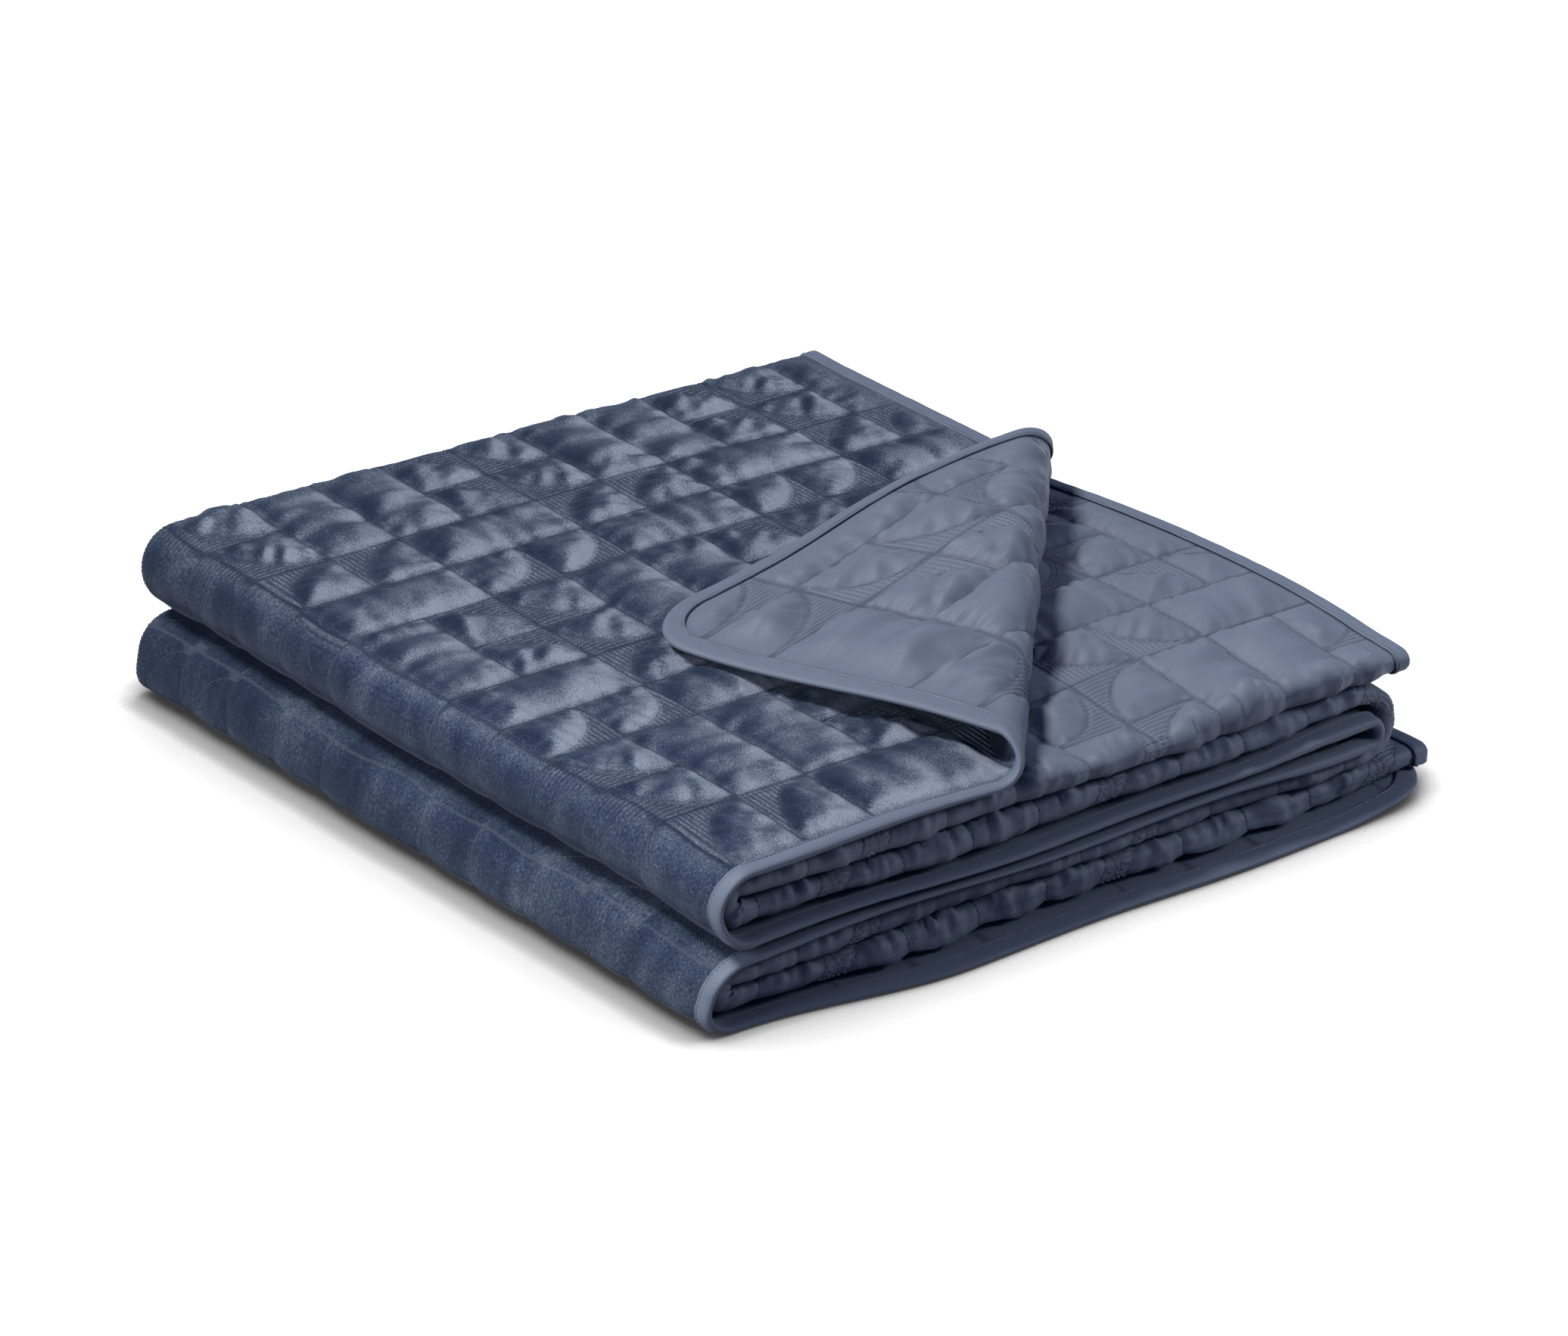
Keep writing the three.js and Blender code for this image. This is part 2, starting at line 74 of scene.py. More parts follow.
# The corner of the top layer that is turned back.
FLAP_FOOT_X = 259.0
FLAP_ANGLE = math.radians(49)
FLAP_RADIUS_NEAR = 14.0
FLAP_RADIUS_FAR = 24.5
FLAP_RADIUS_RUN = 520.0
FLAP_LIE_HEIGHT = 14.0
FLAP_FALL_RUN = 217.0
FLAP_REACH = 1.14
FLAP_DRIFT = 0.23
FLAP_FAN = 0.295
FLAP_FAN_MIDDLE = 200.0
FLAP_FAN_RUN = 300.0

# How the stack has settled.
FLOOR_SPREAD = 13.0
LOWEST_SLIP = 22.0
NEAR_SAG = 6.5
SIDE_OPENING = 7.5
LOOP_SWELL = 6.0
OPEN_SIDE_RISE = 14.0
CORNER_LIFT = 9.0
SEAM_WANDER = 1.8
WANDER_RUN = 48.0

# Relief of the two sides: the height at a seam, the rise of the puffs, and what dents and draws them.
FACE_BASE, BACK_BASE = 1.7, 1.5
FACE_LEAST, BACK_LEAST = 0.9, 0.8
FACE_PUFF_PRESSED, FACE_PUFF_OPEN, FACE_PUFF_FAR = 1.5, 6.0, 1.4
FACE_DENTS, FACE_HOLLOWS, FACE_PUCKERS = 3.2, 1.6, 4.4
BACK_PUFF_PRESSED, BACK_PUFF_OPEN, BACK_PUFF_FLAP, BACK_PUFF_FOLD = 1.6, 9.0, 12.5, 1.6
BACK_PUCKERS, BACK_CREASES, NEAR_GATHERS = 5.8, 4.8, 8.4

BINDING_WIDTH = 13.0
BINDING_SEAM = 11.0
EDGE_HALF = 1.2
LINE_STEP = 3.2

# Ribs and stitches. Their own sizes are in metres, how they lie on the cloth is in millimetres.
RIB_RADIUS = 0.0019
RIB_STEP = 0.003
RIB_SIDES = 8
RIB_END_SHARE = 0.15
FACE_RIB_SINK, BACK_RIB_SINK = 0.9, 1.2
STITCH_PITCH = 0.0036
STITCH_LENGTH = 0.0026
THREAD_RADIUS = 0.00036
STITCH_SIDES = 5
BACK_STITCH_RISE = 0.12
STRIP_STITCH_LIFTS = (3.0, -3.3)


def ease(v):
    """From 0 to 1, with a soft start and end."""
    v = np.clip(v, 0, 1)
    return v * v * (3 - 2 * v)


def onset(v, start, rise):
    """0 up to a start, then up to 1 over a rise."""
    return ease((v - start) / rise)


def bell(v, run):
    """1 at 0, and less the further away."""
    return np.exp(-((v / run) ** 2))


def mix(m, n, share):
    return m + (n - m) * share


def make_track(a, b, heading, stretches):
    """A run of straight and evenly bent stretches, each (length, turn)."""
    parts = []
    travelled = 0.0
    for length, turn in stretches:
        bend = turn / length
        parts.append((travelled, a, b, heading, bend))
        ended = heading + turn
        if turn == 0:
            a += length * math.cos(heading)
            b += length * math.sin(heading)
        else:
            a += (math.sin(ended) - math.sin(heading)) / bend
            b -= (math.cos(ended) - math.cos(heading)) / bend
        heading = ended
        travelled += length
    return np.array(parts), travelled


def along_track(track, distance):
    index = np.clip(np.searchsorted(track[:, 0], distance, side="right") - 1, 0, len(track) - 1)
    start, a, b, heading, bend = track[index].T
    run = distance - start
    turned = heading + bend * run
    straight = bend == 0
    divisor = np.where(straight, 1, bend)
    arc_a = (np.sin(turned) - np.sin(heading)) / divisor
    arc_b = (np.cos(heading) - np.cos(turned)) / divisor
    at_a = a + np.where(straight, run * np.cos(heading), arc_a)
    at_b = b + np.where(straight, run * np.sin(heading), arc_b)
    return at_a, at_b, turned, index


FOLD_ARC = math.pi * (LAYER_PITCH / 2 + FOLD_BULGE)
LEAN = FOLD_BULGE / BULGE_RUN
BULGE_OUT = [(BULGE_RUN, LEAN), (BULGE_RUN, -LEAN)]
BULGE_IN = [(BULGE_RUN, -LEAN), (BULGE_RUN, LEAN)]
LAYERS, WIDTH = make_track(
    NEAR_EDGE,
    LAYER_PITCH,
    0.0,
    [
        (FAR_FOLD - NEAR_EDGE - 2 * BULGE_RUN, 0),
        *BULGE_OUT,
        (FOLD_ARC, -math.pi),
        *BULGE_IN,
        (FAR_FOLD - NEAR_FOLD - 4 * BULGE_RUN, 0),
        *BULGE_IN,
        (FOLD_ARC, math.pi),
        *BULGE_OUT,
        (HIDDEN_EDGE - NEAR_FOLD - 2 * BULGE_RUN, 0),
    ],
)
OUTER_PANEL = 0
FAR_FOLD_START = LAYERS[3][0]
FAR_FOLD_END = LAYERS[4][0]
NEAR_FOLD_START = LAYERS[9][0]
NEAR_FOLD_END = LAYERS[10][0]

TURN_ARC = math.pi * LAYERS_IN_ROW / 2 * LAYER_PITCH
STACK_RISE = (LAYERS_IN_ROW * ROWS_IN_STACK - 1) * LAYER_PITCH
TOP_LAYER_HEIGHT = BOTTOM_LAYER_HEIGHT + STACK_RISE
MIDDLE_HEIGHT = BOTTOM_LAYER_HEIGHT + STACK_RISE / 2
ROWS, LENGTH = make_track(
    TOP_ROW_END,
    TOP_LAYER_HEIGHT - LAYER_PITCH,
    math.pi,
    [
        (TOP_ROW_END - ROLL_AXIS, 0),
        (TURN_ARC, math.pi),
        (LOOP_AXIS - ROLL_AXIS, 0),
        (TURN_ARC, -math.pi),
        (LOOP_AXIS - ROLL_AXIS, 0),
        (TURN_ARC, math.pi),
        (BOTTOM_ROW_END - ROLL_AXIS, 0),
    ],
)
TOP_ROW = 0
UPPER_ROLL_START, UPPER_ROLL_END = ROWS[1][0], ROWS[2][0]
LOOP_START, LOOP_END = ROWS[3][0], ROWS[4][0]
LOWER_ROLL_START, LOWER_ROLL_END = ROWS[5][0], ROWS[6][0]


def flap_place(x, y):
    """Distance past the slanted bending line of the turned corner, along it, and the bend's radius."""
    past = (x - FLAP_FOOT_X) * math.sin(FLAP_ANGLE) - y * math.cos(FLAP_ANGLE)
    along = (x - FLAP_FOOT_X) * math.cos(FLAP_ANGLE) + y * math.sin(FLAP_ANGLE)
    share = np.clip(along / FLAP_RADIUS_RUN, -0.2, 1.2)
    return past, along, FLAP_RADIUS_NEAR + (FLAP_RADIUS_FAR - FLAP_RADIUS_NEAR) * share


def turned_back(x, y, lift):
    """The top layer: flat up to the slanted line, round it, then down onto itself."""
    past, along, radius = flap_place(x, y)
    bend = np.clip(past / radius, 0, math.pi)
    beyond = np.maximum(0, past - math.pi * radius)
    drop = 2 * radius - FLAP_LIE_HEIGHT
    u = np.clip(beyond / FLAP_FALL_RUN, 0, 1)
    slope = -drop * 6 * u * (1 - u) / FLAP_FALL_RUN
    size = np.hypot(FLAP_REACH, slope)
    tangent_out = np.where(beyond > 0, -FLAP_REACH / size, np.cos(bend))
    tangent_up = np.where(beyond > 0, slope / size, np.sin(bend))
    flat = np.where(past < 0, past, radius * np.sin(bend) - beyond * FLAP_REACH)
    out = flat - lift * tangent_up
    height = radius * (1 - np.cos(bend)) - drop * ease(u) + lift * tangent_out
    run = along - FLAP_DRIFT * beyond + FLAP_FAN * beyond * (along - FLAP_FAN_MIDDLE) / FLAP_FAN_RUN
    cos, sin = math.cos(FLAP_ANGLE), math.sin(FLAP_ANGLE)
    return np.stack(
        [FLAP_FOOT_X + cos * run + sin * out, sin * run - cos * out, TOP_LAYER_HEIGHT + height], -1
    )


def settled(points):
    """How the stack has settled under its own weight; the order of the layers is kept."""
    px, py, pz = points.T
    upper = onset(pz, 52, 22)
    near_share = 1 - np.clip(py / FAR_FOLD, 0, 1)
    shift = upper * mix(-2, 9, near_share) + (1 - upper) * mix(-9, 0, near_share)
    spread = FLOOR_SPREAD * (1 - ease(pz / 34))
    from_roll = np.maximum(0, px)
    x = px + shift * np.exp(-from_roll / 80) - spread * np.exp(-from_roll / 55)

    nearness = np.exp(-np.maximum(0, py) / 60)
    lowest = 1 - ease((pz - 4) / 12)
    slip = LOWEST_SLIP * lowest * onset(x, 10, 200) * (1 - 0.3 * onset(x, 580, 100))
    scallop = 2 * np.sin(x / 43 + pz / 13)
    y = py + (scallop - slip) * nearness

    sag = NEAR_SAG * bell(np.maximum(0, y), 70) * np.clip(pz / MIDDLE_HEIGHT, 0, 1)
    layer = (pz - MIDDLE_HEIGHT) / LAYER_PITCH
    opening = SIDE_OPENING * onset(x, 470, 120) * np.tanh(layer / 0.6) * bell(layer, 2.5)
    x = x + LOOP_SWELL * np.tanh(np.maximum(0, x - LOOP_AXIS) / 7) * bell(layer, 1.3)
    crown_far = (4 + 5 * (1 - ease((x - 350) / 250))) * onset(y, 380, 300)
    open_side = OPEN_SIDE_RISE * onset(x, 330, 150) * np.sin(math.pi * np.clip(y / 440, 0, 1))
    waves = 1.5 * np.sin(x / 95 + 1) * np.cos(y / 130) + np.sin(y / 75 + 2)
    swell = pz / TOP_LAYER_HEIGHT * (crown_far + open_side + waves)
    ripple = 1.2 * np.clip(pz / 20, 0, 1) * nearness * np.sin(x / 62 + pz / 11)
    corner_lift = CORNER_LIFT * onset(x, 560, 110) * bell(y, 130) * (1 - np.clip(pz / 70, 0, 1))
    z = pz - sag + opening + swell + ripple + corner_lift
    return np.stack([x, y, np.maximum(0, z)], -1)


def folded(across, along, lift):
    """Points of the folded cloth in metres, from places on the flat cloth in millimetres."""
    across, along, lift = (
        np.array(v, float).ravel() for v in np.broadcast_arrays(across, along, lift)
    )
    drawn = SEAM_WANDER * ease((edge_distance(across, along) - BINDING_WIDTH) / 40)
    u, v = across / WANDER_RUN, along / WANDER_RUN
    y, up, lean, panel = along_track(LAYERS, across + drawn * soft_noise(u, v, seed=61))
    x, height, heading, row = along_track(ROWS, along + drawn * soft_noise(u, v, seed=67))
    outward = up + lift * np.cos(lean)
    points = np.stack(
        [x + outward * np.sin(heading), y - lift * np.sin(lean), height - outward * np.cos(heading)], -1
    )
    top = (panel == OUTER_PANEL) & (row == TOP_ROW)
    points[top] = turned_back(x[top], y[top], lift[top])
    return (settled(points) - STACK_CENTRE) / 1000


def soft_noise(u, v, seed):
    """Smooth uneven heights from -1 to 1, with about one hump to a unit."""
    cells = 128
    table = np.random.default_rng(seed).uniform(-1, 1, (cells, cells))
    total = np.zeros(np.broadcast(u, v).shape)
    for turn, weight in ((0.5, 0.6), (2.1, 0.6)):
        p = u * math.cos(turn) - v * math.sin(turn) + 31.7 * turn
        q = u * math.sin(turn) + v * math.cos(turn) + 17.3 * turn
        i, j = np.floor(p).astype(int), np.floor(q).astype(int)
        f, g = ease(p - i), ease(q - j)
        i, i_next, j, j_next = i % cells, (i + 1) % cells, j % cells, (j + 1) % cells
        low = table[i, j] * (1 - f) + table[i_next, j] * f
        high = table[i, j_next] * (1 - f) + table[i_next, j_next] * f
        total += weight * (low * (1 - g) + high * g)
    return total


def on_pattern(across):
    return np.where(across < CLOTH_MARKS[-1], np.interp(across, CLOTH_MARKS, PATTERN_MARKS), across)


def on_cloth(across):
    return np.where(across < PATTERN_MARKS[-1], np.interp(across, PATTERN_MARKS, CLOTH_MARKS), across)


def block_place(across, along, from_across, from_along):
    """Place inside the turned block that holds the second pair of values."""
    column = np.floor((from_across - BLOCK_START_ACROSS) / BLOCK)
    line = np.floor((from_along - BLOCK_START_ALONG) / BLOCK)
    a = across - BLOCK_START_ACROSS - column * BLOCK
    b = along - BLOCK_START_ALONG - line * BLOCK
    turn = ((column + 2 * line) % 4).astype(int)
    turned_a = np.choose(turn, [a, b, BLOCK - a, BLOCK - b])
    turned_b = np.choose(turn, [b, BLOCK - a, BLOCK - b, a])
    return turned_a, turned_b, column * 7 + line * 13


def smooth_least(*distances):
    """About the least of some distances, without a ridge where two of them are alike."""
    sharpness = 2.5
    total = sum(np.maximum(distance, 0.05) ** -sharpness for distance in distances)
    return total ** (-1 / sharpness)


class Quilting:
    """Where places on the flat cloth lie in the quilting."""

    def __init__(self, across, along):
        drawn = on_pattern(across)
        a, b, block = block_place(drawn, along, drawn, along)
        rail = a < RAIL
        c = a - RAIL
        second = b >= RAIL
        d = np.where(second, b - RAIL, b)
        inside = ROUND_RADIUS - np.hypot(c, d)
        in_round = ~rail & (inside > 0)
        to_side = np.minimum(a, RAIL - a)
        to_end = np.minimum(b, BLOCK - b)
        to_radius = np.minimum(c, d)
        arc_run = np.arctan2(d, np.maximum(c, 1e-6)) * ROUND_RADIUS

        def choose(on_rail, on_round, on_corner):
            return np.where(rail, on_rail, np.where(in_round, on_round, on_corner))

        self.ribbed = ~rail & ~in_round
        self.seam = np.maximum(
            0,
            choose(
                np.minimum(to_side, to_end),
                np.minimum(to_radius, inside),
                np.minimum(-inside, np.minimum(RAIL - c, RAIL - d)),
            ),
        )
        self.depth = choose(
            smooth_least(a, RAIL - a, b, BLOCK - b),
            smooth_least(c, d, inside),
            smooth_least(-inside, RAIL - c, RAIL - d),
        )
        self.seam_run = choose(
            np.where(to_side < to_end, b, a),
            np.where(inside < to_radius, arc_run, np.where(c < d, d, c)),
            c,
        )
        self.long = choose(b, arc_run, c)
        self.cross = choose(a, np.hypot(c, d), d)
        self.puff = block + choose(0, np.where(second, 2, 1), 3)

    def crown(self, roundness):
        return 1 - (1 - np.clip(self.depth / PUFF_RISE, 0, 1)) ** roundness


def edge_distance(across, along):
    m = np.minimum(across, WIDTH - across)
    n = np.minimum(along, LENGTH - along)
    rounded = CORNER_RADIUS - np.hypot(CORNER_RADIUS - m, CORNER_RADIUS - n)
    return np.where(np.maximum(m, n) >= CORNER_RADIUS, np.minimum(m, n), rounded)


def at_binding(across, along, full, easing):
    """The cloth is pressed thin under the binding."""
    return EDGE_HALF + (full - EDGE_HALF) * ease((edge_distance(across, along) - BINDING_WIDTH) / easing)


def round_bend(across, along):
    """How far round the bend of the turned corner places lie, in its radii, and which are on the top."""
    past, _, radius = flap_place(TOP_ROW_END - along, across + NEAR_EDGE)
    return past / radius, (across < FAR_FOLD_START) & (along < UPPER_ROLL_START)


def turned_share(across, along):
    """1 on the corner that is turned back, 0 on the rest of the cloth."""
    bend, on_top = round_bend(across, along)
    return np.where(on_top, ease(bend / 2), 0)


def bend_share(across, along):
    """1 half way round the bend of the turned corner, fading to 0 on both sides of it."""
    bend, on_top = round_bend(across, along)
    return np.where(on_top, bell(bend - math.pi / 2, 1.2), 0)


def roll_share(across, along):
    """1 on the two rolls of the outer panel, 0 on the rest of the cloth."""
    upper = onset(along, UPPER_ROLL_START + 8, 10) * (1 - onset(along, UPPER_ROLL_END, 30))
    lower = onset(along, LOWER_ROLL_START - 30, 30) * (1 - onset(along, LOWER_ROLL_END, 30))
    return (1 - onset(across, FAR_FOLD_START + 10, 40)) * np.maximum(upper, lower)


def top_share(across, along):
    """1 on the open top of the stack, 0 on the rest of the cloth."""
    outer = 1 - onset(across, FAR_FOLD_START + 10, 40)
    return outer * (1 - onset(along, UPPER_ROLL_START + 1, 6)) * (1 - turned_share(across, along))


def velvet_lift(across, along):
    """Height of the velvet face over the middle of the cloth."""
    quilt = Quilting(across, along)
    crown = quilt.crown(1.8)
    top = top_share(across, along)
    dents = soft_noise(quilt.long / 19 + quilt.puff * 3.1, quilt.cross / 48 + along / 300, seed=4)
    hollows = soft_noise(across / 34, along / 34, seed=7)
    wrinkles = soft_noise(quilt.seam_run / 8.5 + quilt.puff * 5.3, quilt.seam / 45, seed=9)
    puckers = wrinkles * np.exp(-quilt.seam / 19) * (1 - np.exp(-quilt.seam / 5))
    fullness = 1 + 0.14 * np.sin(quilt.puff * 2.3)
    far = onset(across, 640, 60)
    full_rise = mix(FACE_PUFF_PRESSED, FACE_PUFF_OPEN, top) + FACE_PUFF_FAR * top * far
    rise = full_rise * fullness * crown
    relief = top * (FACE_DENTS * dents * crown + FACE_HOLLOWS * hollows * crown + FACE_PUCKERS * puckers)
    still = (1 - top) * 0.3 * dents * crown
    puffed = FACE_BASE + np.where(quilt.ribbed, 0.6 * crown, rise + relief + still)
    lying = (1 - onset(across, FAR_FOLD_START, 40)) * onset(along, LOWER_ROLL_END - 14, 40)
    full = mix(puffed, BOTTOM_LAYER_HEIGHT + FLOOR_PRESS, lying)
    return at_binding(across, along, np.maximum(full, FACE_LEAST), 14)


def back_lift(across, along):
    """Height of the woven back over the middle of the cloth, out of its own side."""
    quilt = Quilting(across, along)
    crown = quilt.crown(1.6)
    # The back lies open on the turned corner and on the middle panel beside it.
    middle = onset(across, 1000, 60) * (1 - onset(across, NEAR_FOLD_START, 20))
    middle = middle * (1 - onset(along, 345, 45))
    open_share = (1 - onset(along, 400, 40)) * np.maximum(1 - onset(across, 480, 60), middle)
    _, _, heading, _ = along_track(ROWS, along)
    above_fold = (across - (NEAR_FOLD_START + NEAR_FOLD_END) / 2) * np.cos(heading)
    near_fold = bell(above_fold - 8.5, 10)
    wrinkles = soft_noise(quilt.seam_run / 5.5 + quilt.puff * 4.1, quilt.seam / 40, seed=21)
    puckers = wrinkles * np.exp(-quilt.seam / 12) * (1 - np.exp(-quilt.seam / 3))
    creases = soft_noise(quilt.long / 17 + quilt.puff, quilt.cross / 44, seed=25)
    pleats = np.abs(soft_noise(along / 11 + across / 17, across / 60, seed=33))
    fine_pleats = np.abs(soft_noise(along / 6.5 - across / 23, across / 45, seed=37))
    gathers = np.minimum(1.5 * pleats + 0.9 * fine_pleats - 0.6, 0.85)
    flap = turned_share(across, along)
    open_rise = mix(BACK_PUFF_OPEN, BACK_PUFF_FLAP, flap)
    full_rise = mix(BACK_PUFF_PRESSED, open_rise, open_share) + BACK_PUFF_FOLD * near_fold
    bend = bend_share(across, along)
    rise = full_rise * (1 - 0.7 * bend) * crown
    loose = (0.25 + 0.65 * open_share + 0.55 * flap) * (1 - 0.65 * bend)
    relief = loose * (BACK_PUCKERS * puckers + BACK_CREASES * creases * crown)
    gathered = NEAR_GATHERS * near_fold * gathers * crown
    full = BACK_BASE + np.where(quilt.ribbed, 0.5 * crown, rise + relief + gathered)
    return at_binding(across, along, np.maximum(full, BACK_LEAST), 32)


def zone_lines(marks, steps, *bends, start=BLOCK_START_ACROSS, last=WIDTH):
    """Lines of a mesh, on the quilting: steps to a rail between each mark and the next, and at bends."""
    lines = []
    for low, high, count in (*zip(marks, marks[1:], steps), *bends):
        step = RAIL / count
        first, end = math.ceil((low - start) / step), math.ceil((high - start) / step)
        lines.append(start + step * np.arange(first, end))
    lines = np.unique(np.round(np.concatenate(lines), 4))
    return lines[(lines > 0) & (lines < last)]


def row_of(lines, along):
    """The lines that cross one row, cut short where the corner of the cloth is round."""
    into = CORNER_RADIUS - min(along, LENGTH - along)
    inset = 0.0 if into <= 0 else CORNER_RADIUS - math.sqrt(CORNER_RADIUS**2 - into**2)
    least_gap = 0.8
    inner = lines[(lines > inset + least_gap) & (lines < WIDTH - inset - least_gap)]
    return np.concatenate([[inset], inner, [WIDTH - inset]])


def zip_rows(first, second, base_first, base_second):
    """Triangles between two neighbouring rows of points."""
    if len(first) == len(second) and np.allclose(first[1:-1], second[1:-1]):
        i = np.arange(len(first) - 1)
        a, b, c, d = base_first + i, base_first + i + 1, base_second + i + 1, base_second + i
        return np.concatenate([np.stack([a, b, c], -1), np.stack([a, c, d], -1)])
    made = []
    i = j = 0
    while i < len(first) - 1 or j < len(second) - 1:
        next_first = first[i + 1] if i < len(first) - 1 else math.inf
        next_second = second[j + 1] if j < len(second) - 1 else math.inf
        if next_first <= next_second:
            made.append((base_first + i, base_first + i + 1, base_second + j))
            i += 1
        else:
            made.append((base_first + i, base_second + j + 1, base_second + j))
            j += 1
    return np.array(made)


def in_scene(name, data):
    """A new object of the scene that holds a mesh, a lamp or a camera."""
    item = bpy.data.objects.new(name, data)
    bpy.context.collection.objects.link(item)
    return item


def mesh_piece(name, points, triangles, material):
    mesh = bpy.data.meshes.new(name)
    mesh.vertices.add(len(points))
    mesh.vertices.foreach_set("co", np.asarray(points, np.float32).ravel())
    mesh.loops.add(triangles.size)
    mesh.loops.foreach_set("vertex_index", triangles.astype(np.int32).ravel())
    mesh.polygons.add(len(triangles))
    mesh.polygons.foreach_set("loop_start", np.arange(0, triangles.size, 3, dtype=np.int32))
    mesh.update(calc_edges=True)
    mesh.polygons.foreach_set("use_smooth", np.ones(len(triangles), bool))
    mesh.materials.append(material)
    return in_scene(name, mesh)


def add_uv(mesh, name, corners):
    layer = mesh.uv_layers.new(name=name)
    layer.data.foreach_set("uv", np.asarray(corners, np.float32).ravel())


def add_value(mesh, name, values):
    layer = mesh.attributes.new(name, "FLOAT", "POINT")
    layer.data.foreach_set("value", np.asarray(values, np.float32))


def cloth_piece(name, row_lines, lines_at, lift_at, side, material):
    """One surface of the folded cloth. Side is 1 for the velvet face and -1 for the back."""
    rows = np.concatenate([[0.0], row_lines, [LENGTH]])
    across_rows = [row_of(on_cloth(lines_at(along)), along) for along in rows]
    starts = np.concatenate([[0], np.cumsum([len(row) for row in across_rows])])
    across = np.concatenate(across_rows)
    along = np.repeat(rows, [len(row) for row in across_rows])
    triangles = np.concatenate(
        [
            zip_rows(across_rows[k], across_rows[k + 1], starts[k], starts[k + 1])
            for k in range(len(rows) - 1)
        ]
    )
    if side < 0:
        triangles = triangles[:, ::-1]
    lift = lift_at(across, along)
    piece = mesh_piece(name, folded(across, along, side * lift), triangles, material)
    mesh = piece.data
    corner_across, corner_along = across[triangles], along[triangles]
    drawn = on_pattern(corner_across)
    middle_across = drawn.mean(1, keepdims=True)
    middle_along = corner_along.mean(1, keepdims=True)
    a, b, _ = block_place(drawn, corner_along, middle_across, middle_along)
    middle_a, middle_b, _ = block_place(middle_across, middle_along, middle_across, middle_along)
    on_rail = middle_a < RAIL
    c = np.where(on_rail, 0, a - RAIL) / RAIL
    d = np.where(on_rail, 0, np.where(middle_b < RAIL, b, b - RAIL)) / RAIL
    add_uv(mesh, "cloth", np.stack([corner_across, corner_along], -1) / 1000)
    add_uv(mesh, "cell", np.stack([c, d], -1))
    add_value(mesh, "seam", Quilting(across, along).seam)
    return piece, across, along


def add_painted_light_and_nap(mesh, across, along):
    """Painted highlight and shade on the open top from the slope of the puffs; on the rolls, patches of
    pressed pile with a painted light that fades from their near end, and a mask of the rolls.
    """
    probe = 5.5
    # Painted highlight and shade: the velvet is made lighter on slopes of the puffs that face the near
    # side and the open side, and darker on slopes that face away.
    slope_across = velvet_lift(across + probe, along) - velvet_lift(across - probe, along)
    slope_along = velvet_lift(across, along + probe) - velvet_lift(across, along - probe)
    painted_slope_light = np.tanh((0.8 * slope_across + 0.57 * slope_along) / probe)
    roll_wear_and_shade = roll_share(across, along)
    # Painted light on the rolls, lighter at their near end and darker toward the far end; the patches
    # are the pile's own uneven tone.
    painted_falloff = 0.06 - 0.20 * np.clip(across / 650, 0, 1)
    wide_patches = 0.14 * soft_noise(across / 55, along / 24, seed=52)
    small_patches = 0.16 * soft_noise(across / 15, along / 34, seed=53)
    patches_and_painted_falloff = painted_falloff + (wide_patches + small_patches)
    open_top = top_share(across, along) * (1 - onset(across, FAR_FOLD_START - 25, 25))
    open_top = open_top * onset(along, 12, 40) * onset(edge_distance(across, along), 8, 14)
    add_value(mesh, "painted_light_and_nap", open_top * painted_slope_light + roll_wear_and_shade * patches_and_painted_falloff)
    add_value(mesh, "roll_wear_and_shade", roll_wear_and_shade)


def outline_stations():
    """Places round the outline of the flat cloth, each with the direction out of the cloth."""
    quarter = math.pi / 2
    near, far, end = CORNER_RADIUS, WIDTH - CORNER_RADIUS, LENGTH - CORNER_RADIUS
    centres = np.array([(near, near), (far, near), (far, end), (near, end)])
    round_count = int(CORNER_RADIUS * quarter / LINE_STEP)
    sides = []
    for side in range(4):
        here, following = centres[side], centres[(side + 1) % 4]
        count = int(math.dist(here, following) / LINE_STEP)
        straight = here + (np.arange(count) / count)[:, None] * (following - here)
        middles = np.vstack([straight, np.tile(following, (round_count, 1))])
        turned = np.concatenate([np.zeros(count), np.arange(round_count) / round_count])
        angle = (side - 1 + turned) * quarter
        out = np.stack([np.cos(angle), np.sin(angle)], -1)
        sides.append(np.hstack([middles + CORNER_RADIUS * out, out]))
    return np.vstack(sides)


# The binding's section: distance out from the cloth's edge, and lift.
FACE_LIP = [(-13.3, 1.0), (-13.2, 2.3), (-12.4, 2.8), (-9.5, 2.75), (-6, 3.0), (-2.6, 2.85)]
RIM = [(-0.2, 2.3), (1.0, 1.3), (1.5, 0.0), (1.0, -1.3), (-0.2, -2.3)]
BACK_FOLD = [(-2.6, -2.9), (-6, -3.1), (-9.5, -3.0), (-12.4, -3.3)]
OPEN_LIP = [(-13.4, -3.1), (-13.5, -2.1), (-12.6, -1.9)]
LIP_SWAY_FROM = -9


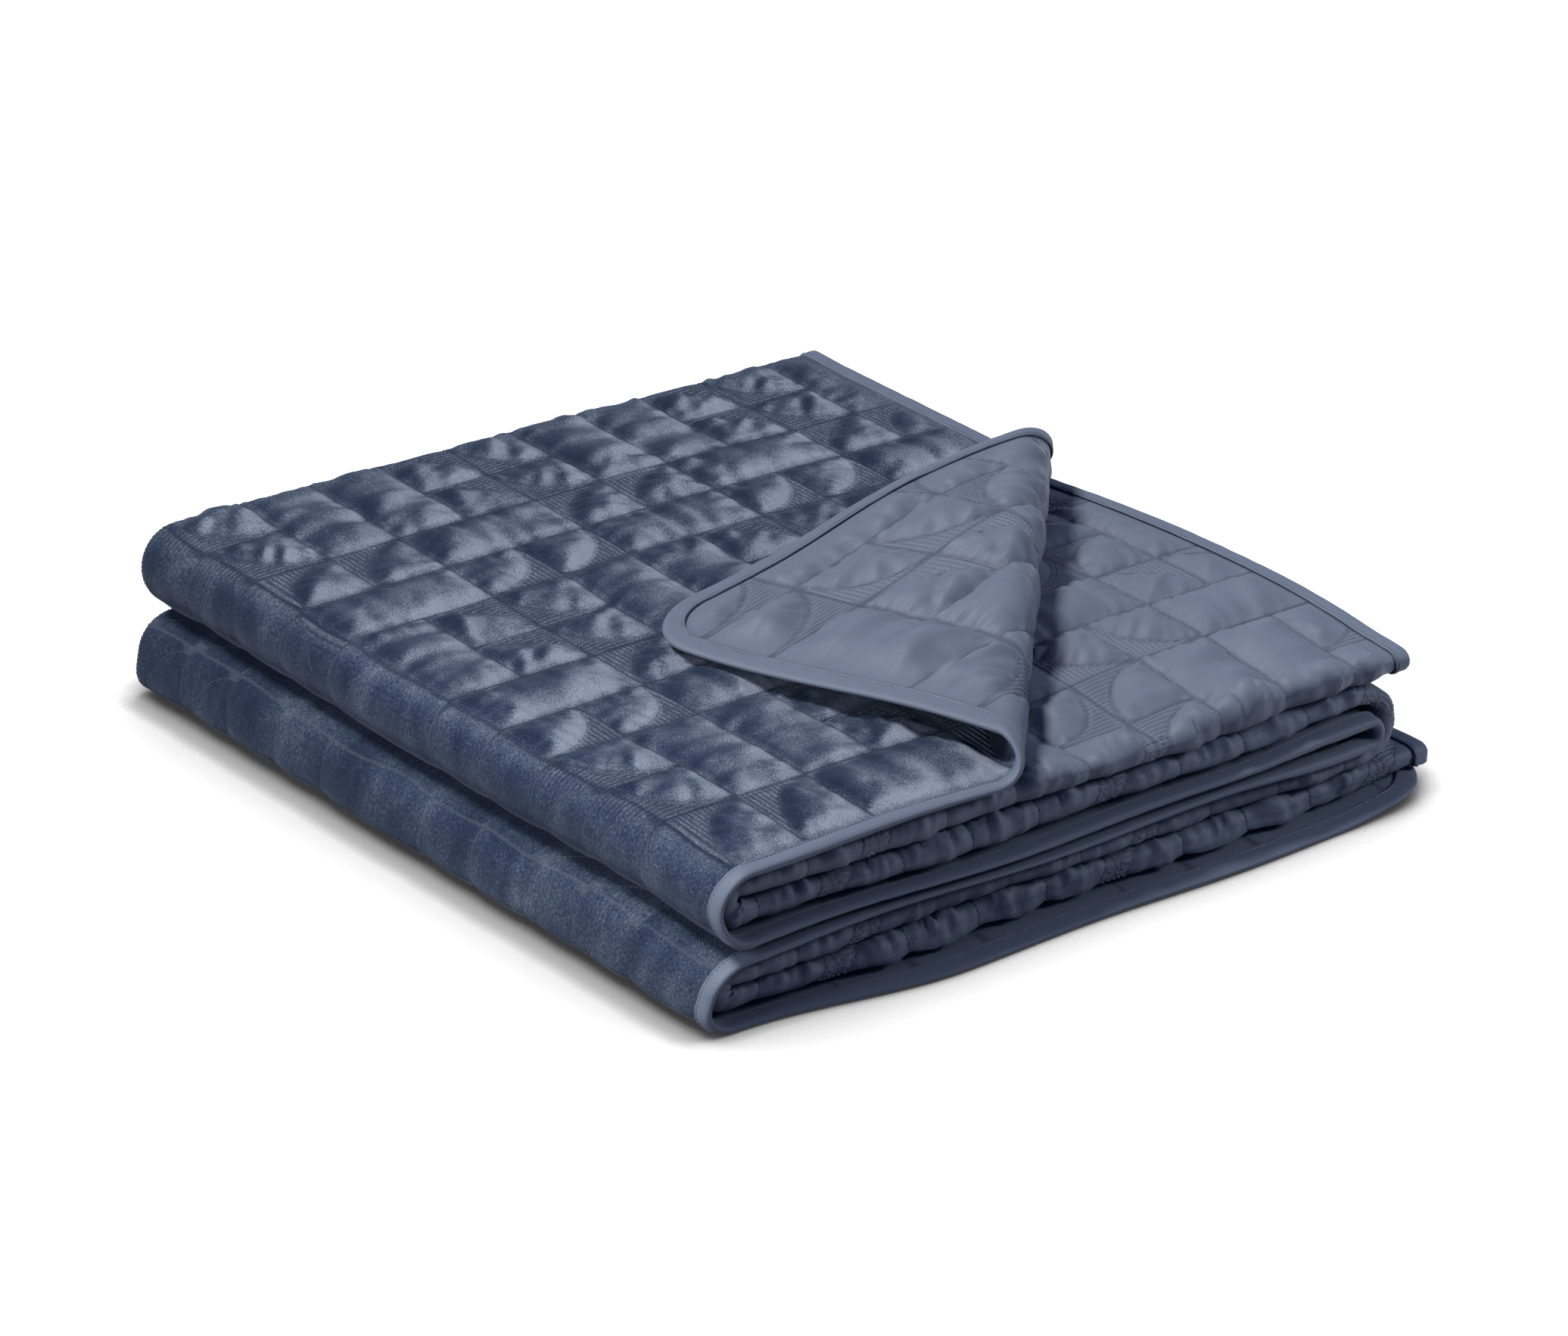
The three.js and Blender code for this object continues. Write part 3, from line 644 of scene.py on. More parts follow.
def binding_piece(material):
    stations = outline_stations()
    section = np.array(FACE_LIP + RIM + BACK_FOLD + OPEN_LIP)
    count, sides = len(stations), len(section)
    run = np.arange(count)[:, None] * LINE_STEP
    sway = 0.5 * soft_noise(run / 70, 0 * run, seed=51)
    swell = 1 + 0.12 * soft_noise(run / 11, 0.3 * section[None, :, 0], seed=53)
    out = section[None, :, 0] + sway * (section[None, :, 0] < LIP_SWAY_FROM)
    lift = section[None, :, 1] * swell
    across = stations[:, 0:1] + out * stations[:, 2:3]
    along = stations[:, 1:2] + out * stations[:, 3:4]
    points = folded(across, along, lift)
    i = np.arange(count)[:, None]
    k = np.arange(sides - 1)[None, :]
    here, following = i * sides + k, (i + 1) % count * sides + k
    quads = np.stack([here, here + 1, following + 1, following], -1).reshape(-1, 4)
    triangles = np.concatenate([quads[:, [0, 1, 2]], quads[:, [0, 2, 3]]])
    piece = mesh_piece("edge_strip", points, triangles[:, ::-1], material)
    round_section = np.concatenate([[0], np.cumsum(np.hypot(*np.diff(section, axis=0).T))])
    uv = np.stack(np.broadcast_arrays(round_section[None, :], run), -1).reshape(-1, 2) / 1000
    add_uv(piece.data, "cloth", uv[triangles[:, ::-1]])
    return piece


def block_lines():
    """Seam lines, rib lines and the channel lines between ribs of one block before it is turned."""

    def line(start, end):
        count = max(2, int(math.dist(start, end) / LINE_STEP) + 1)
        return np.linspace(start, end, count)

    seams = [
        line((0, 0), (BLOCK, 0)),
        line((0, 0), (0, BLOCK)),
        line((RAIL, 0), (RAIL, BLOCK)),
        line((RAIL, RAIL), (BLOCK, RAIL)),
    ]
    ribs = []
    channels = []
    round_gap, end_gap, shortest = 2.5, 2, 5
    angle = np.linspace(0, math.pi / 2, 31)
    for foot in (0, RAIL):
        arc = [RAIL + ROUND_RADIUS * np.cos(angle), foot + ROUND_RADIUS * np.sin(angle)]
        seams.append(np.stack(arc, -1))
        for half_rib in range(1, 2 * RIBS_IN_CORNER):
            d = RAIL * half_rib / RIBS_IN_CORNER / 2
            c = math.sqrt(max(0, ROUND_RADIUS**2 - d * d)) + round_gap
            if RAIL - c > shortest:
                rows = ribs if half_rib % 2 else channels
                rows.append(line((RAIL + c, foot + d), (BLOCK - end_gap, foot + d)))
    return seams, ribs, channels


def laid_out(shapes, shown):
    """Lines of every block inside the binding, cut to where shown says that they can be seen."""
    paths = []
    for column in range(int((WIDTH - BLOCK_START_ACROSS) / BLOCK) + 1):
        for line in range(int((LENGTH - BLOCK_START_ALONG) / BLOCK) + 1):
            for shape in shapes:
                a, b = shape.T
                for _ in range(-(column + 2 * line) % 4):
                    a, b = b, BLOCK - a
                across = on_cloth(BLOCK_START_ACROSS + column * BLOCK + a)
                along = BLOCK_START_ALONG + line * BLOCK + b
                keep = (edge_distance(across, along) > BINDING_WIDTH + 1) & shown(across, along)
                cuts = np.flatnonzero(np.diff(keep.astype(int))) + 1
                for piece in np.split(np.arange(len(a)), cuts):
                    if len(piece) > 1 and keep[piece[0]]:
                        paths.append((across[piece], along[piece]))
    return paths


def feed(tree, socket, value):
    """Links an output to a socket, or sets a plain value on it."""
    if isinstance(value, bpy.types.NodeSocket):
        tree.links.new(value, socket)
    else:
        socket.default_value = value


def feed_all(tree, inputs, **values):
    """Feeds inputs by their names, with _ for a space."""
    for label, value in values.items():
        feed(tree, inputs[label.replace("_", " ")], value)


def new_node(tree, kind, **values):
    node = tree.nodes.new(kind)
    feed_all(tree, node.inputs, **values)
    return node


def calc(tree, operation, *values):
    node = tree.nodes.new("ShaderNodeMath")
    node.operation = operation
    for socket, value in zip(node.inputs, values):
        feed(tree, socket, value)
    return node.outputs[0]


def begin_sewing(name, sizes):
    """A Geometry Nodes tree with sizes as inputs, and points along its lines, the first size apart."""
    tree = bpy.data.node_groups.new(name, "GeometryNodeTree")
    sockets = [("Lines", "Geometry"), *((label, "Float") for label in sizes), ("Material", "Material")]
    for label, kind in sockets:
        tree.interface.new_socket(label, in_out="INPUT", socket_type="NodeSocket" + kind)
    tree.interface.new_socket("Sewn", in_out="OUTPUT", socket_type="NodeSocketGeometry")
    given = tree.nodes.new("NodeGroupInput").outputs
    curve = new_node(tree, "GeometryNodeMeshToCurve", Mesh=given["Lines"]).outputs["Curve"]
    spaced = new_node(tree, "GeometryNodeResampleCurve", Curve=curve)
    spaced.mode = "LENGTH"
    feed_all(tree, spaced.inputs, Length=given[sizes[0]])
    return tree, given, spaced.outputs["Curve"]


def end_sewing(tree, sewn, material):
    """Makes what was sewn into real faces with their material."""
    real = new_node(tree, "GeometryNodeRealizeInstances", Geometry=sewn).outputs["Geometry"]
    finish = new_node(tree, "GeometryNodeSetMaterial", Geometry=real, Material=material)
    new_node(tree, "NodeGroupOutput", Sewn=finish.outputs["Geometry"])
    return tree


def stitch_rows_tree():
    """Lays stitches one after another along lines."""
    tree, given, spaced = begin_sewing("stitch_rows", ("Stitch pitch", "Stitch length", "Thread radius"))
    tangent = new_node(tree, "GeometryNodeInputTangent").outputs["Tangent"]
    aligned = new_node(tree, "FunctionNodeAlignRotationToVector", Vector=tangent)
    aligned.axis = "Z"
    stitch = new_node(
        tree,
        "GeometryNodeMeshCylinder",
        Vertices=STITCH_SIDES,
        Radius=given["Thread radius"],
        Depth=given["Stitch length"],
    )
    placed = new_node(
        tree,
        "GeometryNodeInstanceOnPoints",
        Points=spaced,
        Instance=stitch.outputs["Mesh"],
        Rotation=aligned.outputs["Rotation"],
    )
    return end_sewing(tree, placed.outputs["Instances"], given["Material"])


def tapered(tree):
    """Full size along the middle of a curve, closing at both of its ends."""
    share = new_node(tree, "GeometryNodeSplineParameter").outputs["Factor"]
    from_middle = calc(tree, "MULTIPLY_ADD", share, 2.0, -1.0)
    closing = calc(tree, "SUBTRACT", 1.0, calc(tree, "POWER", from_middle, 4.0))
    return calc(tree, "MAXIMUM", calc(tree, "SQRT", closing), RIB_END_SHARE)


def rib_rows_tree():
    """Makes lines into round ribs."""
    tree, given, spaced = begin_sewing("rib_rows", ("Rib step", "Rib radius"))
    circle = "GeometryNodeCurvePrimitiveCircle"
    section = new_node(tree, circle, Resolution=RIB_SIDES, Radius=given["Rib radius"]).outputs["Curve"]
    swept = new_node(tree, "GeometryNodeCurveToMesh", Curve=spaced, Profile_Curve=section)
    feed_all(tree, swept.inputs, Scale=tapered(tree), Fill_Caps=True)
    return end_sewing(tree, swept.outputs["Mesh"], given["Material"])


def sewn_piece(name, tree, lines, material, smooth):
    """What a Geometry Nodes tree makes along lines of points in metres, as a plain mesh."""
    points = np.concatenate(lines)
    starts = np.concatenate([[0], np.cumsum([len(line) for line in lines])])
    edges = np.concatenate(
        [np.stack([np.arange(m, n - 1), np.arange(m + 1, n)], -1) for m, n in zip(starts, starts[1:])]
    )
    guide = bpy.data.meshes.new(name + "_lines")
    guide.from_pydata(points.tolist(), edges.tolist(), [])
    guide_object = in_scene(name + "_lines", guide)
    modifier = guide_object.modifiers.new("sewing", "NODES")
    modifier.node_group = tree
    values = {
        "Stitch pitch": STITCH_PITCH,
        "Stitch length": STITCH_LENGTH,
        "Thread radius": THREAD_RADIUS,
        "Rib radius": RIB_RADIUS,
        "Rib step": RIB_STEP,
        "Material": material,
    }
    for socket in tree.interface.items_tree:
        if socket.in_out == "INPUT" and socket.name in values:
            modifier[socket.identifier] = values[socket.name]
    bpy.context.view_layer.update()
    evaluated = guide_object.evaluated_get(bpy.context.evaluated_depsgraph_get())
    mesh = bpy.data.meshes.new_from_object(evaluated)
    mesh.name = name
    mesh.polygons.foreach_set("use_smooth", np.full(len(mesh.polygons), smooth))
    bpy.data.objects.remove(guide_object)
    return in_scene(name, mesh)


# Finishes. Colours are linear.
VELVET_DEEP = (0.008, 0.014, 0.032, 1)
VELVET_MID = (0.057, 0.073, 0.104, 1)
VELVET_BRIGHT = (0.226, 0.251, 0.306, 1)
VELVET_LOW = (0.021, 0.032, 0.057, 1)
VELVET_SHEEN = (0.62, 0.70, 0.86, 1)
BACK_COLOUR = (0.098, 0.116, 0.156, 1)
BACK_PALE = (0.120, 0.139, 0.184, 1)
BACK_SHADE = (0.030, 0.037, 0.060, 1)
BACK_SHEEN = (0.75, 0.80, 0.92, 1)
THREAD_COLOUR = (0.156, 0.177, 0.224, 1)
THREAD_SHADE = (0.104, 0.121, 0.160, 1)
BLACK = (0, 0, 0, 1)
WHITE = (1, 1, 1, 1)
VELVET_STOPS = ((0.0, VELVET_DEEP), (0.27, VELVET_LOW), (0.50, VELVET_MID), (1.0, VELVET_BRIGHT))


def weighted(tree, total, *terms):
    """A first value and the sum of (output, weight) terms."""
    for output, weight in terms:
        total = calc(tree, "MULTIPLY_ADD", output, weight, total)
    return total


def smooth_step(tree, value, low, high):
    node = new_node(tree, "ShaderNodeMapRange", Value=value, From_Min=low, From_Max=high)
    node.interpolation_type = "SMOOTHSTEP"
    return node.outputs["Result"]


def noise(tree, vector, scale, detail, stretch=(1, 1, 1), distortion=0.0):
    """Uneven values about 0.5; scale is humps to a metre."""
    place = new_node(tree, "ShaderNodeMapping", Vector=vector, Scale=stretch).outputs["Vector"]
    node = new_node(tree, "ShaderNodeTexNoise", Vector=place, Scale=scale, Detail=detail)
    feed_all(tree, node.inputs, Roughness=0.6, Distortion=distortion)
    return node.outputs["Fac"]


def uv_place(tree, name):
    node = tree.nodes.new("ShaderNodeUVMap")
    node.uv_map = name
    return node.outputs["UV"]


def object_place(tree):
    return tree.nodes.new("ShaderNodeTexCoord").outputs["Object"]


def point_value(tree, name):
    node = tree.nodes.new("ShaderNodeAttribute")
    node.attribute_name = name
    return node.outputs["Fac"]


def blended(tree, share, first, second):
    node = tree.nodes.new("ShaderNodeMix")
    node.data_type = "RGBA"
    feed(tree, node.inputs["Factor"], share)
    feed(tree, node.inputs[6], first)
    feed(tree, node.inputs[7], second)
    return node.outputs[2]


def shaded(tree, colour, mask, weight, shade):
    """A colour that turns to a shade where a mask is high."""
    return blended(tree, calc(tree, "MULTIPLY", mask, weight), colour, shade)


def ramp(tree, value, *stops):
    node = tree.nodes.new("ShaderNodeValToRGB")
    elements = node.color_ramp.elements
    for element, (place, colour) in zip(elements, (stops[0], stops[-1])):
        element.position = place
        element.color = colour
    for place, colour in stops[1:-1]:
        elements.new(place).color = colour
    tree.links.new(value, node.inputs["Fac"])
    return node.outputs["Color"]


def bumped(tree, height, strength, distance):
    node = new_node(tree, "ShaderNodeBump", Height=height, Strength=strength, Distance=distance)
    return node.outputs["Normal"]


def new_group(name, inputs, outputs):
    """A shader node group with (name, socket type) inputs and value outputs."""
    group = bpy.data.node_groups.new(name, "ShaderNodeTree")
    for label, kind in inputs:
        group.interface.new_socket(label, in_out="INPUT", socket_type=kind)
    for label in outputs:
        group.interface.new_socket(label, in_out="OUTPUT", socket_type="NodeSocketFloat")
    return group, group.nodes.new("NodeGroupInput").outputs, group.nodes.new("NodeGroupOutput").inputs


def use_group(tree, group, **values):
    node = tree.nodes.new("ShaderNodeGroup")
    node.node_tree = group
    feed_all(tree, node.inputs, **values)
    return node.outputs


def new_material(name):
    material = bpy.data.materials.new(name)
    material.use_nodes = True
    return material, material.node_tree, material.node_tree.nodes["Principled BSDF"].inputs


def quilting_groove_masks_group():
    """Masks of the grooves between the ribs of the channel-stitched corners and of the sunk seam lines,
    where the materials paint shade and, on the rolls of the velvet, pale lines of rubbed pile.
    """
    inputs = [("Ribs", "NodeSocketFloat"), ("Seam width", "NodeSocketFloat")]
    group, given, result = new_group("quilting_groove_masks", inputs, ["Rib groove", "Seam line"])
    cell = uv_place(group, "cell")
    length = new_node(group, "ShaderNodeVectorMath", Vector=cell)
    length.operation = "LENGTH"
    rim = ROUND_RADIUS / RAIL
    corner = smooth_step(group, length.outputs["Value"], rim + 0.01, rim + 0.045)
    rows = new_node(group, "ShaderNodeSeparateXYZ", Vector=cell).outputs["Y"]
    turns = calc(group, "MULTIPLY", rows, given["Ribs"])
    wave = calc(group, "COSINE", calc(group, "MULTIPLY", turns, 2 * math.pi))
    groove = calc(group, "MULTIPLY", smooth_step(group, wave, 0.1, 1.0), corner)
    away = smooth_step(group, point_value(group, "seam"), 0.0, given["Seam width"])
    feed(group, result["Rib groove"], groove)
    feed(group, result["Seam line"], calc(group, "SUBTRACT", 1.0, away))
    return group


def pile_group():
    """How a velvet pile lies: broad blotches, streaks along the pile and single tufts."""
    group, given, result = new_group(
        "velvet_pile", [("Place", "NodeSocketVector")], ["Blotches", "Streaks", "Tufts"]
    )
    place = given["Place"]
    feed(group, result["Blotches"], noise(group, place, 30, 4, distortion=0.8))
    feed(group, result["Streaks"], noise(group, place, 150, 3, stretch=(1, 0.8, 1), distortion=0.5))
    feed(group, result["Tufts"], noise(group, place, 640, 2))
    return group


def weave_group():
    """Tone and height of a close weave: yarns one way and the other, and a slight cloudiness."""
    group, given, result = new_group("close_weave", [("Place", "NodeSocketVector")], ["Tone", "Height"])
    warp = noise(group, given["Place"], 900, 1, stretch=(1, 0.25, 1))
    weft = noise(group, given["Place"], 900, 1, stretch=(0.25, 1, 1))
    cloudy = noise(group, given["Place"], 14, 3)
    feed(group, result["Tone"], weighted(group, 0.0, (cloudy, 0.6), (warp, 0.2), (weft, 0.2)))
    feed(group, result["Height"], weighted(group, 0.0, (warp, 0.5), (weft, 0.5)))
    return group


def finish_velvet(tree, shader, tufts, streaks):
    height = weighted(tree, 0.0, (tufts, 0.5), (streaks, 0.5))
    bumps = bumped(tree, height, strength=0.7, distance=0.0011)
    feed_all(tree, shader, Normal=bumps, Roughness=0.9, Specular_IOR_Level=0.1)
    feed_all(tree, shader, Sheen_Weight=0.15, Sheen_Roughness=0.45, Sheen_Tint=VELVET_SHEEN)


def velvet_material(pile, marks):
    material, tree, shader = new_material("brushed_velvet")
    grain = use_group(tree, pile, Place=uv_place(tree, "cloth"))
    quilted = use_group(tree, marks, Ribs=RIBS_IN_CORNER, Seam_width=1.9)
    roll_wear_and_shade = point_value(tree, "roll_wear_and_shade")
    # The painted highlight and shade of the top, with the pile's own blotches, streaks and tufts; the
    # rolls are made darker, a painted shade of the stack's side.
    lie = weighted(
        tree,
        -0.42,
        (point_value(tree, "painted_light_and_nap"), 0.88),
        (grain["Blotches"], 0.40),
        (grain["Streaks"], 0.35),
        (grain["Tufts"], 1.00),
        (roll_wear_and_shade, -0.16),
    )
    colour = ramp(tree, lie, *VELVET_STOPS)
    # Painted shade in the grooves between the ribs and in the sunk seam lines, less of it on the rolls.
    groove_weight = weighted(tree, 0.65, (roll_wear_and_shade, -0.35))
    seam_weight = weighted(tree, 0.7, (roll_wear_and_shade, -0.55))
    colour = shaded(tree, colour, quilted["Rib groove"], groove_weight, VELVET_DEEP)
    colour = shaded(tree, colour, quilted["Seam line"], seam_weight, VELVET_DEEP)
    # Pale lines of worn pile at the seams of the rolls.
    ridge = calc(tree, "POWER", quilted["Seam line"], 3.0)
    colour = shaded(tree, colour, ridge, calc(tree, "MULTIPLY", roll_wear_and_shade, 0.11), VELVET_BRIGHT)
    feed(tree, shader["Base Color"], colour)
    finish_velvet(tree, shader, grain["Tufts"], grain["Streaks"])
    return material


def rib_material(pile):
    material, tree, shader = new_material("ribbed_velvet")
    grain = use_group(tree, pile, Place=object_place(tree))
    parts = (grain["Blotches"], 0.4), (grain["Streaks"], 0.35), (grain["Tufts"], 1.0)
    feed(tree, shader["Base Color"], ramp(tree, weighted(tree, -0.36, *parts), *VELVET_STOPS))
    finish_velvet(tree, shader, grain["Tufts"], grain["Streaks"])
    return material


def finish_woven(tree, shader, height):
    bumps = bumped(tree, height, strength=0.45, distance=0.0004)
    feed_all(tree, shader, Normal=bumps, Roughness=0.58, Specular_IOR_Level=0.25)
    feed_all(tree, shader, Sheen_Weight=0.12, Sheen_Roughness=0.4, Sheen_Tint=BACK_SHEEN)


def back_material(weave, marks):
    material, tree, shader = new_material("woven_back")
    woven = use_group(tree, weave, Place=uv_place(tree, "cloth"))
    quilted = use_group(tree, marks, Ribs=RIBS_IN_CORNER, Seam_width=3.2)
    colour = blended(tree, woven["Tone"], BACK_COLOUR, BACK_PALE)
    # Painted shade in the grooves between the ribs and in the sunk seam lines.
    colour = shaded(tree, colour, quilted["Rib groove"], 0.15, BACK_SHADE)
    colour = shaded(tree, colour, quilted["Seam line"], 0.55, BACK_SHADE)
    feed(tree, shader["Base Color"], colour)
    finish_woven(tree, shader, woven["Height"])
    return material


def strip_material(weave):
    material, tree, shader = new_material("woven_strip")
    woven = use_group(tree, weave, Place=object_place(tree))
    feed(tree, shader["Base Color"], blended(tree, woven["Tone"], BACK_COLOUR, BACK_PALE))
    finish_woven(tree, shader, woven["Height"])
    return material


def twist_group():
    """Light and dark along a twisted thread."""
    group, given, result = new_group("thread_twist", [("Place", "NodeSocketVector")], ["Tone"])
    feed(group, result["Tone"], noise(group, given["Place"], 700, 1))
    return group


def thread_material(name, twist, shade, colour):
    material, tree, shader = new_material(name)
    twisted = use_group(tree, twist, Place=object_place(tree))
    feed_all(tree, shader, Base_Color=blended(tree, twisted["Tone"], shade, colour), Roughness=0.55)
    return material


# The floor's own glow, and the shade under and beside the stack; reaches are in metres.
FLOOR_GLOW = 1.42
FLOOR_DARKEST = 0.03
FLOOR_SHADE_SAMPLES = 4
SHADE_REACH_ABOVE = 0.028
SHADE_REACH_BESIDE = 0.15
TO_THE_LEFT = (-0.72, 0.36, 0.59)


def open_room(tree, reach, facing):
    """How much of the room within reach is open, seen from the floor along one direction."""
    node = new_node(tree, "ShaderNodeAmbientOcclusion", Distance=reach, Normal=facing)
    node.samples = FLOOR_SHADE_SAMPLES
    return node.outputs["AO"]


def floor_material():
    """A white floor that is darkened by what stands close above it or to the left of it."""
    material, tree, shader = new_material("pale_floor")
    above = calc(tree, "POWER", open_room(tree, SHADE_REACH_ABOVE, (0, 0, 1)), 2.0)
    beside = calc(tree, "POWER", open_room(tree, SHADE_REACH_BESIDE, TO_THE_LEFT), 1.4)
    lit = calc(tree, "MULTIPLY", above, beside)
    glow = weighted(tree, FLOOR_DARKEST, (lit, FLOOR_GLOW))
    feed_all(tree, shader, Base_Color=BLACK, Specular_IOR_Level=0.0)
    feed_all(tree, shader, Emission_Color=WHITE, Emission_Strength=glow)
    return material


marks = quilting_groove_masks_group()
pile = pile_group()
weave = weave_group()
velvet = velvet_material(pile, marks)
velvet_rib = rib_material(pile)
woven_back = back_material(weave, marks)
woven_strip = strip_material(weave)
twist = twist_group()
thread = thread_material("back_thread", twist, THREAD_SHADE, THREAD_COLOUR)
face_thread = thread_material("face_thread", twist, VELVET_DEEP, VELVET_MID)

# Where the cloth shows, in millimetres on the flat cloth. Its meshes are fine there, coarse elsewhere.
TOP_END = 690
LOWER_ROLL_FROM, LOWER_ROLL_TO = 1890, 1970
FACE_END, FACE_SEAM_END = 795, 765
FACE_EDGE, BACK_EDGE = 40, 45
FAR_SIDE_FROM, FAR_SIDE_TO = 690, 800
FLAP_END = 490
MIDDLE_FROM, NEAR_SIDE_FROM, NEAR_SIDE_TO = 1060, 1420, 1530
MIDDLE_END = 426
LOOP_MARGIN = 20
FAR_BEND = (FAR_FOLD_START, FAR_FOLD_END, 12)
NEAR_BEND = (NEAR_FOLD_START, NEAR_FOLD_END, 12)
LOOP_BEND = (LOOP_START, LOOP_END, 12)
VELVET_ROWS = zone_lines(
    (0, TOP_END, LOWER_ROLL_FROM, LOWER_ROLL_TO, LENGTH),
    (20, 6, 20, 6),
    LOOP_BEND,
    start=BLOCK_START_ALONG,
    last=LENGTH,
)
VELVET_FINE = zone_lines((0, FACE_END, WIDTH), (20, 2), NEAR_BEND)
VELVET_COARSE = zone_lines((0, FACE_EDGE, FAR_SIDE_FROM, FAR_SIDE_TO, WIDTH), (10, 2, 12, 2), NEAR_BEND)
BACK_ROWS = zone_lines((0, LENGTH), (20,), start=BLOCK_START_ALONG, last=LENGTH)
BACK_FINE = zone_lines((0, FLAP_END, MIDDLE_FROM, NEAR_SIDE_TO, WIDTH), (20, 2, 20, 2), FAR_BEND)
BACK_COARSE = zone_lines((0, BACK_EDGE, NEAR_SIDE_FROM, NEAR_SIDE_TO, WIDTH), (10, 1, 16, 1), FAR_BEND)
BACK_LOOP = np.union1d(BACK_COARSE, zone_lines((NEAR_SIDE_TO, WIDTH), (6,)))


def velvet_lines(along):
    shown = along < TOP_END or LOWER_ROLL_FROM < along < LOWER_ROLL_TO
    return VELVET_FINE if shown else VELVET_COARSE


def back_lines(along):
    if along < MIDDLE_END:
        return BACK_FINE
    in_loop = LOOP_START - LOOP_MARGIN < along < LOOP_END + LOOP_MARGIN
    return BACK_LOOP if in_loop else BACK_COARSE


velvet_face, face_across, face_along = cloth_piece(
    "velvet_face", VELVET_ROWS, velvet_lines, velvet_lift, 1, velvet
)
add_painted_light_and_nap(velvet_face.data, face_across, face_along)
back_cloth, _, _ = cloth_piece("back_cloth", BACK_ROWS, back_lines, back_lift, -1, woven_back)
edge_strip = binding_piece(woven_strip)


def face_seam_shown(across, along):
    top = (along < TOP_END) & (turned_share(across, along) < 0.01)
    roll = (along > LOWER_ROLL_FROM + 3) & (along < LOWER_ROLL_END)
    return (across < FACE_SEAM_END) & (top | roll)


def face_rib_shown(across, along):
    return face_seam_shown(across, along) & (roll_share(across, along) < 0.1)


def back_seam_shown(across, along):
    flap = turned_share(across, along) > 0.3
    middle = (across > MIDDLE_FROM + 2) & (along < MIDDLE_END)
    fold = across > NEAR_FOLD_START - 40
    outside = across < NEAR_FOLD_END + 30
    return flap | (outside & (middle | fold))


def lines_on(shapes, shown, lift_at, side, out):
    """Lines on one side of the folded cloth, in metres, a little out of or into its surface."""
    paths = laid_out(shapes, shown)
    return [folded(across, along, side * (lift_at(across, along) + out)) for across, along in paths]


stitch_rows = stitch_rows_tree()
rib_rows = rib_rows_tree()
seams, ribs, channels = block_lines()
face_rib_lines = lines_on(ribs, face_rib_shown, velvet_lift, 1, -FACE_RIB_SINK)
back_rib_lines = lines_on(ribs, back_seam_shown, back_lift, -1, -BACK_RIB_SINK)
face_seam_lines = lines_on(seams, face_seam_shown, velvet_lift, 1, 0.0)
back_seam_lines = lines_on(seams + channels, back_seam_shown, back_lift, -1, BACK_STITCH_RISE)
stations = outline_stations()
ring = np.vstack([stations, stations[:1]])
sewn_across = ring[:, 0] - BINDING_SEAM * ring[:, 2]
sewn_along = ring[:, 1] - BINDING_SEAM * ring[:, 3]
strip_lines = [folded(sewn_across, sewn_along, lift) for lift in STRIP_STITCH_LIFTS]
face_ribs = sewn_piece("face_ribs", rib_rows, face_rib_lines, velvet_rib, True)
back_ribs = sewn_piece("back_ribs", rib_rows, back_rib_lines, woven_strip, True)
face_stitches = sewn_piece("face_stitches", stitch_rows, face_seam_lines, face_thread, False)
back_stitches = sewn_piece("back_stitches", stitch_rows, back_seam_lines, thread, False)
strip_stitches = sewn_piece("strip_stitches", stitch_rows, strip_lines, thread, False)

for piece, node, slot in (
    (velvet_face, "quilted_panel", "velvet"),
    (back_cloth, "quilted_panel", "woven_back"),
    (edge_strip, "edge_binding", "woven_back"),
    (face_ribs, None, "velvet"),
    (back_ribs, None, "woven_back"),
    (face_stitches, None, "thread"),
    (back_stitches, None, "thread"),
    (strip_stitches, None, "thread"),
):
    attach(piece, "root")
    if node:
        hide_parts(node)

# Floor, light and camera.
floor_mesh = bpy.data.meshes.new("floor")
FLOOR_REACH, FLOOR_DROP = 12.0, -0.0006
quarters = ((-1, -1), (1, -1), (1, 1), (-1, 1))
floor_corners = [(x * FLOOR_REACH, y * FLOOR_REACH, FLOOR_DROP) for x, y in quarters]
floor_mesh.from_pydata(floor_corners, [], [(0, 1, 2, 3)])
floor = in_scene("floor", floor_mesh)
floor_mesh.materials.append(floor_material())
floor.visible_diffuse = False

